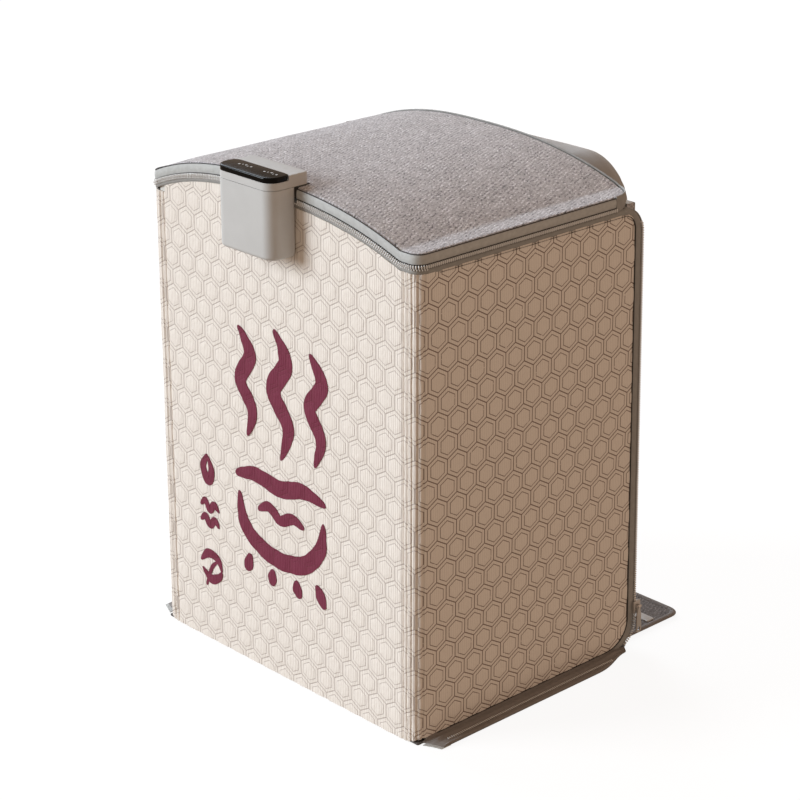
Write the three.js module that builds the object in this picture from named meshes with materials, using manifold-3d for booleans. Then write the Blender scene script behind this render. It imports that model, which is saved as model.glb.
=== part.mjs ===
// Portable steam sauna for the feet and calves: a folding padded box with heating film in its walls,
// a domed zip-on cover, a zipped rear panel with a leg sleeve, a floor flap and a hook-on control pod.
// Millimetres, +Z up. The printed front faces -Y. The origin is on the floor, under the box.

import * as THREE from 'three';
import { mergeVertices } from 'three/addons/utils/BufferGeometryUtils.js';
import Module from 'manifold-3d';

const wasm = await Module();
wasm.setup();

// ---------------------------------------------------------------- driving dimensions

// Box
const BOX_WIDTH = 400;              // outside, left skin to right skin
const BOX_DEPTH = 314;              // outside, front skin to the rear edge at the top
const WALL_TOP = 500;               // height of the side walls
const FRONT_Y = -155;               // outer face of the front wall
const REAR_LEAN = 12;               // how far the foot of the rear stands behind its top
const FRONT_CORNER_R = 12;          // upright bends between the front and the side walls
const PANEL_CORNER_R = 28;          // rounded rear corners of the side walls

// Wall layers, from the outside in
const SKIN_T = 1.6;
const BOARD_T = 7;
const FILM_T = 0.8;
const LINING_T = 1.2;
const GAP = 0.3;                    // clearance between pieces that touch
const SWING_GAP = 0.6;              // clearance behind the edge of a wall that swings

// Domed top
const ARCH_RISE = 30;
const CROWN_X = -30;                // the crown stands left of the middle
const ARCH_FOOT_LEFT = 4;           // from the left skin to the left foot of the arch
const ARCH_FOOT_RIGHT = 24;         // from the right skin to the right foot of the arch
const ARCH_POWER = 2.5;             // how square the arch is
const COVER_REAR_R = 34;            // rear corners of the cover, seen from above
const COVER_REAR_INSET = 8;         // from the rear edge at the top to the cover's rear edge
const COVER_SKIN_T = 1.6;
const COVER_FOAM_T = 6;
const RIM_HEIGHT = 13;              // upright tape band of the cover
const BINDING_T = 2;

// Zips
const TAPE_WIDTH = 9;               // tape beside a row of teeth
const CHAIN_WIDTH = 3;              // one row of teeth
const TAPE_T = 1.6;
const TOP_TAPE = 7;                 // tape and teeth along the top of the front wall
const FOOT_FLANGE = 22;             // how far the bottom zip lies out on the floor
const FLANGE_T = 2.2;
const FLANGE_FRONT = 14;            // from the front bend to the zip's front end

// Base and floor flap
const UNDERSIDE_T = 1.5;
const UNDERSIDE_R = 20;             // rear corners of the underside, seen from above
const BASE_BOARD_T = 8;
const FLAP_LENGTH = 92;
const FLAP_WIDTH = 380;
const FLAP_T = 4.5;
const FLAP_CORNER_R = 16;
const FLAP_BINDING = 7;
const BEND_RISE = 8;                // upright stretch of the padded bend, up to the rear panel

// Leg sleeve on the rear panel
const SLEEVE_WIDTH = 292;
const SLEEVE_HEIGHT = 140;
const SLEEVE_BELOW_CROWN = 3;
const SLEEVE_WALL = 20;
const SLEEVE_DEPTH = 50;
const SLEEVE_CORNER_R = 56;
const SLEEVE_PUFF = 10;
const MOUTH_INSET = 12;
const MOUTH_DEPTH = 7;

// Control pod
const POD_OFFSET = 18;              // to the right of the crown
const POD_WIDTH = 84;
const POD_DEPTH = 32;
const POD_HEIGHT = 83;
const POD_ABOVE_ARCH = 27;          // pod top above the crown of the front wall
const POD_CORNER_R = 14;
const POD_WALL = 2;
const CAP_HEIGHT = 12;
const SLOT_CLEAR = 1.5;             // beside the wall in the pod's hook
const HOOK_T = 4;
const HOOK_WIDTH = 64;
const HOOK_DROP = 44;
const GLASS_LENGTH = 80;
const GLASS_DEPTH = 26;
const GLASS_T = 2;
const GLASS_PROUD = 1;
const BOARD_PLATE_T = 1.6;
const NOTCH_CLEAR = 1.5;            // round the pod in the cover's front edge

// Zip sliders
const SLIDER_WIDTH = 10;
const SLIDER_HEIGHT = 14;
const SLIDER_T = 4;
const SLIDER_Z = 46;                // middle of the rear sliders
const PULL_LENGTH = 31;
const PULL_WIDTH = 8;
const PULL_T = 1.6;
const PULL_HOLE_R = 2;
const PIN_R = 0.8;
const PIN_CLEAR = 0.35;             // between the cross pin and the pull's bore
const PIN_RISE = 1.5;               // above the middle of the slider
const KNUCKLE_R = 2;                // of the pull, round the pin
const NECK_WIDTH = 3.8;
const NECK_LENGTH = 5.5;
const LUG_T = 1;
const COVER_SLIDER_INSET = 59;      // from the rear edge at the top

// ---------------------------------------------------------------- places worked out from them

const HALF_WIDTH = BOX_WIDTH / 2;
const REAR_TOP_Y = FRONT_Y + BOX_DEPTH;
const REAR_FOOT_Y = REAR_TOP_Y + REAR_LEAN;
const WALL_T = SKIN_T + BOARD_T + FILM_T + LINING_T + 3 * GAP;
const INNER_X = HALF_WIDTH - WALL_T;
const SIDE_FRONT_Y = FRONT_Y + FRONT_CORNER_R;
const WALL_FOOT = UNDERSIDE_T + GAP;
const EDGE_INSET = TAPE_WIDTH + CHAIN_WIDTH;
const BASE_TOP = WALL_FOOT + BASE_BOARD_T + FILM_T + LINING_T + 2 * GAP;
const LEAN_ANGLE = Math.atan2(REAR_LEAN, WALL_TOP);
const COVER_BOTTOM = GAP * 2;
const COVER_REAR_Y = REAR_TOP_Y - COVER_REAR_INSET;
const POD_X = CROWN_X + POD_OFFSET;
const SLEEVE_TOP = WALL_TOP + ARCH_RISE - SLEEVE_BELOW_CROWN;
const BEND_TOP = WALL_FOOT + PANEL_CORNER_R + BEND_RISE;

// Each mesh takes its look from one of these.
const FINISHES = {
  printed: { color: 0xe9dccb, roughness: 0.8, metalness: 0 },
  foam: { color: 0xd8d6d0, roughness: 0.9, metalness: 0 },
  film: { color: 0x26262a, roughness: 0.5, metalness: 0 },
  lining: { color: 0xb9b4ab, roughness: 0.6, metalness: 0 },
  linen: { color: 0x9c9a9c, roughness: 0.95, metalness: 0 },
  tape: { color: 0x8d8b86, roughness: 0.8, metalness: 0 },
  satin: { color: 0x9a9a98, roughness: 0.45, metalness: 0 },
  grip: { color: 0x1d1d1f, roughness: 0.9, metalness: 0 },
  metal: { color: 0x8f8f90, roughness: 0.35, metalness: 1 },
  plastic: { color: 0xb9b9b6, roughness: 0.55, metalness: 0 },
  glass: { color: 0x0b0a0b, roughness: 0.08, metalness: 0 },
  circuit: { color: 0x1f5a36, roughness: 0.5, metalness: 0 },
  black: { color: 0x161617, roughness: 0.45, metalness: 0 },
};

const group = new THREE.Group();

function add(name, finish, geometry) {
  const mesh = new THREE.Mesh(geometry, new THREE.MeshStandardMaterial(FINISHES[finish]));
  mesh.name = name;
  group.add(mesh);
  return mesh;
}

// ---------------------------------------------------------------- solids

function toSolid(geometry) {
  const bare = geometry.clone();
  bare.deleteAttribute('normal');
  bare.deleteAttribute('uv');
  const merged = mergeVertices(bare, 1e-4);
  const vertProperties = new Float32Array(merged.attributes.position.array);
  const triVerts = new Uint32Array(merged.index.array);
  return new wasm.Manifold(new wasm.Mesh({ numProp: 3, vertProperties, triVerts }));
}

function toGeometry(solid) {
  const mesh = solid.getMesh();
  const geometry = new THREE.BufferGeometry();
  geometry.setAttribute('position', new THREE.BufferAttribute(new Float32Array(mesh.vertProperties), 3));
  geometry.setIndex(new THREE.BufferAttribute(new Uint32Array(mesh.triVerts), 1));
  geometry.computeVertexNormals();
  return geometry;
}

function join(...geometries) {
  const solids = geometries.map(toSolid);
  return toGeometry(solids.reduce((total, solid) => total.add(solid)));
}

function cut(geometry, ...tools) {
  return toGeometry(tools.map(toSolid).reduce((rest, tool) => rest.subtract(tool), toSolid(geometry)));
}

function common(...geometries) {
  return toGeometry(geometries.map(toSolid).reduce((rest, solid) => rest.intersect(solid)));
}

function block(x0, x1, y0, y1, z0, z1) {
  const geometry = new THREE.BoxGeometry(x1 - x0, y1 - y0, z1 - z0);
  geometry.translate((x0 + x1) / 2, (y0 + y1) / 2, (z0 + z1) / 2);
  return geometry;
}

// An outline through corners [u, v, radius], each rounded by its own radius.
function outline(corners, Kind = THREE.Shape, segments = 6) {
  const points = [];
  corners.forEach(([u, v, radius = 0], index) => {
    const here = new THREE.Vector2(u, v);
    if (radius <= 0) {
      points.push(here);
      return;
    }
    const before = corners[(index + corners.length - 1) % corners.length];
    const after = corners[(index + 1) % corners.length];
    const toBefore = new THREE.Vector2(before[0], before[1]).sub(here).normalize();
    const toAfter = new THREE.Vector2(after[0], after[1]).sub(here).normalize();
    const halfAngle = Math.acos(THREE.MathUtils.clamp(toBefore.dot(toAfter), -1, 1)) / 2;
    const centre = toBefore.clone().add(toAfter).normalize()
      .multiplyScalar(radius / Math.sin(halfAngle)).add(here);
    const start = here.clone().addScaledVector(toBefore, radius / Math.tan(halfAngle)).sub(centre);
    const end = here.clone().addScaledVector(toAfter, radius / Math.tan(halfAngle)).sub(centre);
    const sweep = Math.atan2(start.cross(end), start.dot(end));
    for (let step = 0; step <= segments; step += 1) {
      const turned = start.clone().rotateAround(new THREE.Vector2(), sweep * step / segments);
      points.push(turned.add(centre));
    }
  });
  return new Kind(points);
}

function rectangle(u0, u1, v0, v1, radius, Kind = THREE.Shape) {
  return outline([[u0, v0, radius], [u1, v0, radius], [u1, v1, radius], [u0, v1, radius]], Kind);
}

function extrude(shape, depth) {
  return new THREE.ExtrudeGeometry(shape, { depth, bevelEnabled: false, curveSegments: 6 });
}

// Plates: a (Y, Z) outline through X, an (X, Z) outline through Y and an (X, Y) outline through Z.
function plateX(shape, x0, x1) {
  const turn = new THREE.Matrix4().set(0, 0, 1, x0, 1, 0, 0, 0, 0, 1, 0, 0, 0, 0, 0, 1);
  return extrude(shape, x1 - x0).applyMatrix4(turn);
}

function plateY(shape, y0, y1) {
  const turn = new THREE.Matrix4().set(1, 0, 0, 0, 0, 0, -1, y1, 0, 1, 0, 0, 0, 0, 0, 1);
  return extrude(shape, y1 - y0).applyMatrix4(turn);
}

function plateZ(shape, z0, z1) {
  return extrude(shape, z1 - z0).translate(0, 0, z0);
}

function mirrorX(geometry) {
  const mirrored = toSolid(geometry).mirror([1, 0, 0]);
  return toGeometry(mirrored);
}

// ---------------------------------------------------------------- the arch across the top

function archHeight(x) {
  const left = -HALF_WIDTH + ARCH_FOOT_LEFT;
  const right = HALF_WIDTH - ARCH_FOOT_RIGHT;
  const reach = x < CROWN_X ? (CROWN_X - x) / (CROWN_X - left) : (x - CROWN_X) / (right - CROWN_X);
  return WALL_TOP + ARCH_RISE * Math.max(0, 1 - reach ** ARCH_POWER);
}

// The (X, Z) band between two heights over the arch; a lower height of null means down to floor.
function archBand(lower, upper, x0, x1, floor = 0) {
  const steps = 28;
  const top = [];
  const bottom = [];
  for (let step = 0; step <= steps; step += 1) {
    const x = x0 + (x1 - x0) * step / steps;
    top.push(new THREE.Vector2(x, archHeight(x) + upper));
    bottom.push(new THREE.Vector2(x, archHeight(x) + (lower ?? 0)));
  }
  if (lower === null) {
    return new THREE.Shape([new THREE.Vector2(x0, floor), new THREE.Vector2(x1, floor), ...top.reverse()]);
  }
  return new THREE.Shape([...bottom, ...top.reverse()]);
}

// ---------------------------------------------------------------- front wall

function frontBand(outer, thickness) {
  const x = HALF_WIDTH - outer;
  const y = FRONT_Y + outer;
  const radius = FRONT_CORNER_R - 2 * GAP - outer;
  const end = SIDE_FRONT_Y - GAP;
  return outline([
    [-x, end], [-x, y, radius], [x, y, radius], [x, end],
    [x - thickness, end], [x - thickness, y + thickness, radius - thickness],
    [-x + thickness, y + thickness, radius - thickness], [-x + thickness, end],
  ]);
}

function frontWall() {
  const over = HALF_WIDTH + 10;
  const skinTop = archBand(null, -TOP_TAPE - GAP, -over, over, UNDERSIDE_T + GAP);
  const skin = common(plateZ(frontBand(0, SKIN_T), 0, WALL_TOP + 60), plateY(skinTop, FRONT_Y - 5, 0));
  add('front_wall_skin', 'printed', skin);
  const zipBand = archBand(-TOP_TAPE, 0, -over, over);
  const zip = common(plateZ(frontBand(0, SKIN_T), 0, WALL_TOP + 60), plateY(zipBand, FRONT_Y - 5, 0));
  add('front_wall_zip', 'tape', zip);

  const boardX = HALF_WIDTH - FRONT_CORNER_R;
  const boardY = FRONT_Y + SKIN_T + GAP;
  const board = archBand(null, -GAP, -boardX, boardX, WALL_FOOT);
  add('front_wall_board', 'foam', plateY(board, boardY, boardY + BOARD_T));
  const filmY = boardY + BOARD_T + GAP;
  const filmShape = rectangle(-boardX + 30, boardX - 30, 60, WALL_TOP - 50, 12);
  add('front_heating_film', 'film', plateY(filmShape, filmY, filmY + FILM_T));
  const liningY = filmY + FILM_T + GAP;
  const liningX = INNER_X - GAP;
  const lining = archBand(null, -GAP, -liningX, liningX, BASE_TOP + GAP);
  add('front_wall_lining', 'lining', plateY(lining, liningY, liningY + LINING_T));
}

const FRONT_INNER_Y = FRONT_Y + WALL_T;

// ---------------------------------------------------------------- side walls

// The rear edge of a side wall, leaning back towards its foot.
function rearY(z) {
  return REAR_TOP_Y + REAR_LEAN * (WALL_TOP - z) / WALL_TOP;
}

// The two rear corners of a side wall, drawn in by an inset that is the same all round.
function sideCorners(inset) {
  const top = WALL_TOP - inset;
  const foot = WALL_FOOT + inset;
  const radius = PANEL_CORNER_R - inset;
  const along = inset / Math.cos(LEAN_ANGLE);
  return { low: [rearY(foot) - along, foot, radius], high: [rearY(top) - along, top, radius] };
}

function sideOutline(inset) {
  const { low, high } = sideCorners(inset);
  return outline([[SIDE_FRONT_Y, low[1]], low, high, [SIDE_FRONT_Y, high[1]]]);
}

function sideZipBand() {
  const outer = sideCorners(0);
  const inner = sideCorners(EDGE_INSET);
  return outline([
    [SIDE_FRONT_Y, outer.low[1]], outer.low, outer.high, [SIDE_FRONT_Y, outer.high[1]],
    [SIDE_FRONT_Y, inner.high[1]], inner.high, inner.low, [SIDE_FRONT_Y, inner.low[1]],
  ]);
}

function sideWall(side, place) {
  const outerX = HALF_WIDTH;
  const skin = plateX(sideOutline(EDGE_INSET + GAP), outerX - SKIN_T, outerX);
  add(`${side}_wall_skin`, 'printed', place(skin));

  const flangeEnd = REAR_FOOT_Y - PANEL_CORNER_R;
  const flangeFront = SIDE_FRONT_Y + FLANGE_FRONT;
  const flange = block(outerX - SKIN_T / 2, outerX + FOOT_FLANGE - CHAIN_WIDTH,
    flangeFront, flangeEnd, WALL_FOOT, WALL_FOOT + FLANGE_T);
  const band = plateX(sideZipBand(), outerX - SKIN_T, outerX);
  add(`${side}_wall_zip`, 'tape', place(join(band, flange)));

  const boardX = outerX - SKIN_T - GAP;
  add(`${side}_wall_board`, 'foam', place(plateX(sideOutline(2), boardX - BOARD_T, boardX)));
  const filmX = boardX - BOARD_T - GAP;
  const film = rectangle(SIDE_FRONT_Y + 40, REAR_TOP_Y - 45, 60, WALL_TOP - 50, 12);
  add(`${side}_heating_film`, 'film', place(plateX(film, filmX - FILM_T, filmX)));
  const liningX = filmX - FILM_T - GAP;
  add(`${side}_wall_lining`, 'lining', place(plateX(sideOutline(2), liningX - LINING_T, liningX)));
}

// ---------------------------------------------------------------- base and floor flap

function base() {
  const sheet = outline([
    [-HALF_WIDTH, FRONT_Y + SKIN_T, 2], [HALF_WIDTH, FRONT_Y + SKIN_T, 2],
    [HALF_WIDTH, REAR_FOOT_Y, UNDERSIDE_R], [-HALF_WIDTH, REAR_FOOT_Y, UNDERSIDE_R],
  ]);
  add('base_underside', 'grip', plateZ(sheet, 0, UNDERSIDE_T));

  const x = INNER_X - SWING_GAP;
  const frontY = FRONT_INNER_Y + GAP;
  const rearEnd = REAR_FOOT_Y - PANEL_CORNER_R;
  const boardTop = WALL_FOOT + BASE_BOARD_T;
  add('base_board', 'foam', block(-x, x, frontY, rearEnd - GAP, WALL_FOOT, boardTop));
  const filmTop = boardTop + GAP + FILM_T;
  const film = rectangle(-x + 30, x - 30, frontY + 20, rearEnd - 20, 12);
  add('base_heating_film', 'film', plateZ(film, boardTop + GAP, filmTop));
  add('base_lining', 'lining', block(-x, x, frontY, rearEnd - GAP, filmTop + GAP, filmTop + GAP + LINING_T));

  // The padded corner that turns up from the base into the rear panel.
  const centreZ = WALL_FOOT + PANEL_CORNER_R;
  const bend = new THREE.Shape();
  bend.moveTo(rearEnd, WALL_FOOT);
  bend.absarc(rearEnd, centreZ, PANEL_CORNER_R, -Math.PI / 2, 0, false);
  bend.lineTo(REAR_FOOT_Y, BEND_TOP);
  bend.lineTo(REAR_FOOT_Y - BASE_BOARD_T, BEND_TOP);
  bend.lineTo(REAR_FOOT_Y - BASE_BOARD_T, centreZ);
  bend.absarc(rearEnd, centreZ, PANEL_CORNER_R - BASE_BOARD_T, 0, -Math.PI / 2, true);
  add('base_rear_bend', 'linen', plateX(bend, -x, x));

  for (const [side, place] of SIDES) {
    const flange = block(HALF_WIDTH + GAP, HALF_WIDTH + FOOT_FLANGE,
      SIDE_FRONT_Y + FLANGE_FRONT, rearEnd, 0, UNDERSIDE_T);
    add(`base_zip_${side}`, 'tape', place(flange));
  }
}

function floorFlap() {
  const x = FLAP_WIDTH / 2;
  const y0 = REAR_FOOT_Y + 2 * GAP;
  const y1 = y0 + FLAP_LENGTH;
  const inner = FLAP_BINDING + GAP;
  const mat = outline([
    [-x + inner, y0], [x - inner, y0], [x - inner, y1 - inner, FLAP_CORNER_R - inner],
    [-x + inner, y1 - inner, FLAP_CORNER_R - inner],
  ]);
  add('floor_flap', 'linen', plateZ(mat, 0, FLAP_T));
  const binding = outline([
    [-x, y0], [-x + FLAP_BINDING, y0], [-x + FLAP_BINDING, y1 - FLAP_BINDING, FLAP_CORNER_R - FLAP_BINDING],
    [x - FLAP_BINDING, y1 - FLAP_BINDING, FLAP_CORNER_R - FLAP_BINDING], [x - FLAP_BINDING, y0],
    [x, y0], [x, y1, FLAP_CORNER_R], [-x, y1, FLAP_CORNER_R],
  ]);
  add('floor_flap_binding', 'tape', plateZ(binding, 0, FLAP_T));
}

// ---------------------------------------------------------------- rear panel and leg sleeve

// Pieces of the rear lean with it: a turn about the top rear edge.
function lean(geometry) {
  return geometry.translate(0, -REAR_TOP_Y, -WALL_TOP).rotateX(LEAN_ANGLE).translate(0, REAR_TOP_Y, WALL_TOP);
}

function legOpening(grow, Kind) {
  const x = SLEEVE_WIDTH / 2 - SLEEVE_WALL + grow;
  const top = SLEEVE_TOP - SLEEVE_WALL + grow;
  const bottom = SLEEVE_TOP - SLEEVE_HEIGHT + SLEEVE_WALL - grow;
  return rectangle(-x, x, bottom, top, SLEEVE_CORNER_R - SLEEVE_WALL + grow, Kind);
}

function rearPanel() {
  const x = INNER_X - SWING_GAP;
  const foot = BEND_TOP + 2 * GAP;
  const body = archBand(null, COVER_BOTTOM - GAP - 1, -x, x, foot);
  const hole = plateY(legOpening(0), REAR_TOP_Y - 60, REAR_TOP_Y + 60);
  const layer = (offset, thickness) => {
    const y1 = REAR_TOP_Y - offset;
    return lean(cut(plateY(body, y1 - thickness, y1), hole));
  };
  add('rear_panel_skin', 'linen', layer(0, SKIN_T));
  add('rear_panel_board', 'foam', layer(SKIN_T + GAP, BOARD_T));
  add('rear_panel_lining', 'lining', layer(SKIN_T + BOARD_T + 2 * GAP, LINING_T));

  for (const [side, place] of SIDES) {
    const top = WALL_TOP - PANEL_CORNER_R;
    const strip = join(
      block(x + GAP, HALF_WIDTH, REAR_TOP_Y + SWING_GAP, REAR_TOP_Y + SWING_GAP + TAPE_T, foot, top),
      block(HALF_WIDTH - TAPE_T, HALF_WIDTH, REAR_TOP_Y + SWING_GAP, REAR_TOP_Y + SWING_GAP + CHAIN_WIDTH,
        foot, top),
    );
    add(`rear_zip_${side}`, 'tape', place(lean(strip)));
  }
}

function legSleeve() {
  const x = SLEEVE_WIDTH / 2 - SLEEVE_PUFF;
  const top = SLEEVE_TOP - SLEEVE_PUFF;
  const bottom = SLEEVE_TOP - SLEEVE_HEIGHT + SLEEVE_PUFF;
  const ring = rectangle(-x, x, bottom, top, SLEEVE_CORNER_R - SLEEVE_PUFF);
  const sleeve = new THREE.ExtrudeGeometry(ring, {
    depth: SLEEVE_DEPTH - 2 * SLEEVE_PUFF, bevelThickness: SLEEVE_PUFF, bevelSize: SLEEVE_PUFF,
    bevelSegments: 3, curveSegments: 6,
  });
  const y0 = REAR_TOP_Y + GAP + SLEEVE_PUFF;
  sleeve.applyMatrix4(new THREE.Matrix4().set(
    1, 0, 0, 0, 0, 0, -1, y0 + SLEEVE_DEPTH - 2 * SLEEVE_PUFF, 0, 1, 0, 0, 0, 0, 0, 1));
  const hole = plateY(legOpening(0), REAR_TOP_Y - 60, REAR_TOP_Y + SLEEVE_DEPTH + 60);
  add('leg_sleeve', 'satin', lean(cut(sleeve, hole)));

  const mouth = legOpening(0);
  mouth.holes.push(legOpening(-MOUTH_INSET, THREE.Path));
  const mouthY = REAR_TOP_Y + SLEEVE_DEPTH + 2 * GAP;
  add('sleeve_elastic_mouth', 'satin', lean(plateY(mouth, mouthY, mouthY + MOUTH_DEPTH)));
}

// ---------------------------------------------------------------- cover

function coverOutline(inset) {
  const x = HALF_WIDTH - inset;
  const front = FRONT_Y + inset;
  const rear = COVER_REAR_Y - inset;
  return outline([
    [-x, front, FRONT_CORNER_R - Math.min(inset, 4)], [x, front, FRONT_CORNER_R - Math.min(inset, 4)],
    [x, rear, COVER_REAR_R - inset], [-x, rear, COVER_REAR_R - inset],
  ]);
}

const POD_FRONT_Y = FRONT_Y - SLOT_CLEAR - POD_DEPTH;
const HOOK_REAR_Y = FRONT_INNER_Y + SLOT_CLEAR + HOOK_T;

function coverNotch() {
  const x0 = POD_X - POD_WIDTH / 2 - NOTCH_CLEAR;
  const x1 = POD_X + POD_WIDTH / 2 + NOTCH_CLEAR;
  return block(x0, x1, FRONT_Y - 20, HOOK_REAR_Y + NOTCH_CLEAR, WALL_TOP - 20, WALL_TOP + 80);
}

function coverLayer(inset, lower, upper) {
  const over = HALF_WIDTH + 10;
  const plan = plateZ(coverOutline(inset), WALL_TOP - 20, WALL_TOP + 80);
  const band = plateY(archBand(lower, upper, -over, over), FRONT_Y - 10, REAR_TOP_Y + 10);
  return cut(common(plan, band), coverNotch());
}

function cover() {
  const skinLow = COVER_BOTTOM + RIM_HEIGHT + GAP;
  const foamLow = skinLow - GAP - COVER_FOAM_T;
  const inset = TAPE_T + GAP;
  add('cover_skin', 'linen', coverLayer(0, skinLow, skinLow + COVER_SKIN_T));
  add('cover_foam', 'foam', coverLayer(inset, foamLow, foamLow + COVER_FOAM_T));
  add('cover_lining', 'lining', coverLayer(inset, foamLow - GAP - LINING_T, foamLow - GAP));

  // The rim is an open band, cut away at the rear and at the pod, so it comes apart into two halves.
  const ring = cut(coverLayer(0, COVER_BOTTOM, COVER_BOTTOM + RIM_HEIGHT),
    plateZ(coverOutline(TAPE_T), WALL_TOP - 30, WALL_TOP + 90),
    block(-HALF_WIDTH - 10, HALF_WIDTH + 10, COVER_REAR_Y - COVER_REAR_R, REAR_TOP_Y + 20,
      WALL_TOP - 30, WALL_TOP + 90));
  const reach = HALF_WIDTH + 20;
  const half = (x0, x1) => common(ring, block(x0, x1, FRONT_Y - 20, REAR_TOP_Y, WALL_TOP - 30, WALL_TOP + 90));
  add('cover_zip_left', 'tape', half(-reach, POD_X));
  add('cover_zip_right', 'tape', half(POD_X, reach));

  const x = HALF_WIDTH - COVER_REAR_R;
  const binding = archBand(COVER_BOTTOM + 3, skinLow + COVER_SKIN_T, -x, x);
  add('cover_rear_binding', 'tape', plateY(binding, COVER_REAR_Y + GAP, COVER_REAR_Y + GAP + BINDING_T));
}

// ---------------------------------------------------------------- control pod

function podOutline(inset, rear) {
  const x = POD_WIDTH / 2 - inset;
  const radius = POD_CORNER_R - inset;
  return outline([
    [POD_X - x, POD_FRONT_Y + inset, radius], [POD_X + x, POD_FRONT_Y + inset, radius],
    [POD_X + x, rear - inset, 3], [POD_X - x, rear - inset, 3],
  ]);
}

function controlPod() {
  const top = WALL_TOP + ARCH_RISE + POD_ABOVE_ARCH;
  const bottom = top - POD_HEIGHT;
  const shellRear = FRONT_Y - SLOT_CLEAR;
  const seam = top - CAP_HEIGHT;

  const inletX = POD_X;
  const inletY = (POD_FRONT_Y + shellRear) / 2;
  const inletR = 4.2;
  const inletBore = new THREE.CylinderGeometry(inletR + GAP, inletR + GAP, 20, 16)
    .rotateX(Math.PI / 2).translate(inletX, inletY, bottom);
  const shell = cut(plateZ(podOutline(0, shellRear), bottom, seam - GAP),
    plateZ(podOutline(POD_WALL, shellRear), bottom + POD_WALL, seam + 10), inletBore);
  add('pod_shell', 'plastic', shell);

  // The cap bridges the top of the wall and carries the hook inside it.
  const glassX = GLASS_LENGTH / 2;
  const glassY = POD_FRONT_Y + 3;
  const glassOutline = (grow) => outline([
    [POD_X - glassX - grow, glassY - grow, POD_CORNER_R - 3], [POD_X + glassX + grow, glassY - grow, POD_CORNER_R - 3],
    [POD_X + glassX + grow, glassY + GLASS_DEPTH + grow, 6], [POD_X - glassX - grow, glassY + GLASS_DEPTH + grow, 6],
  ]);
  const glassLow = top - GLASS_T + GLASS_PROUD;
  const hook = block(POD_X - HOOK_WIDTH / 2, POD_X + HOOK_WIDTH / 2, HOOK_REAR_Y - HOOK_T, HOOK_REAR_Y,
    seam - HOOK_DROP, seam + 2);
  const cap = cut(join(plateZ(podOutline(0, HOOK_REAR_Y), seam, top), hook),
    plateZ(glassOutline(GAP), glassLow - GAP, top + 5),
    plateZ(podOutline(POD_WALL + 3, shellRear), seam - 1, glassLow - GAP - POD_WALL));
  add('pod_cap', 'plastic', cap);
  add('pod_glass', 'glass', plateZ(glassOutline(0), glassLow, glassLow + GLASS_T));

  const boardTop = seam - 1;
  const insideX = POD_WIDTH / 2 - POD_CORNER_R;
  const insideY0 = POD_FRONT_Y + POD_WALL + 3;
  const insideY1 = shellRear - POD_WALL - 3;
  add('pod_touch_board', 'circuit', block(POD_X - insideX, POD_X + insideX, insideY0, insideY1,
    boardTop - BOARD_PLATE_T, boardTop));
  add('pod_display', 'black', block(POD_X - 16, POD_X + 16, insideY0 + 3, insideY1 - 5,
    boardTop + GAP, boardTop + GAP + 4));
  const plateY1 = shellRear - POD_WALL - 2;
  add('pod_power_board', 'circuit', block(POD_X - insideX, POD_X + insideX, plateY1 - BOARD_PLATE_T, plateY1,
    bottom + 14, boardTop - BOARD_PLATE_T - 6));
  add('pod_relay', 'black', block(POD_X - 24, POD_X - 4, plateY1 - BOARD_PLATE_T - GAP - 12,
    plateY1 - BOARD_PLATE_T - GAP, bottom + 22, bottom + 44));

  // The supply inlet: a round socket with its bore open downwards.
  const profile = [[1.2, 9], [1.2, 1], [2.8, 1], [2.8, 0], [inletR, 0], [inletR, 11], [0, 11], [0, 9]]
    .map(([r, h]) => new THREE.Vector2(r, h));
  const inlet = new THREE.LatheGeometry([...profile.slice(7), ...profile.slice(0, 7)], 16)
    .rotateX(Math.PI / 2).translate(inletX, inletY, bottom + GAP);
  add('pod_supply_inlet', 'black', inlet);

  // Inside the box: the lead socket under the hook, the flat lead down to the films, the sensor.
  const socketTop = seam - HOOK_DROP - 2;
  const wallY = FRONT_INNER_Y + GAP;
  add('lead_socket', 'black', block(POD_X - 18, POD_X + 18, wallY, wallY + 8, socketTop - 16, socketTop));
  add('film_lead', 'film', block(POD_X - 8, POD_X + 8, wallY, wallY + LINING_T,
    BASE_TOP + GAP, socketTop - 16 - GAP));
  add('temperature_sensor', 'black', block(POD_X + 40, POD_X + 52, wallY, wallY + 5, 250, 270));
}

// ---------------------------------------------------------------- zip sliders

const PIN_X = SLIDER_T + GAP + KNUCKLE_R;

// A slider in its own frame: the zip lies behind it in -X, and its pull hangs from a cross pin along Y.
function sliderBody() {
  const body = block(0, SLIDER_T, -SLIDER_WIDTH / 2, SLIDER_WIDTH / 2, -SLIDER_HEIGHT / 2, SLIDER_HEIGHT / 2);
  const lugY = NECK_WIDTH / 2 + GAP;
  const lugTop = PIN_RISE + PIN_R + 0.6;
  const lugFoot = PIN_RISE - PIN_R - 0.6;
  const lug = (y) => block(SLIDER_T - 0.5, PIN_X + PIN_R + 0.4, y, y + LUG_T, lugFoot, lugTop);
  const pin = new THREE.CylinderGeometry(PIN_R, PIN_R, 2 * lugY + LUG_T, 10);
  return join(body, lug(lugY), lug(-lugY - LUG_T), pin.translate(PIN_X, 0, PIN_RISE));
}

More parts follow.
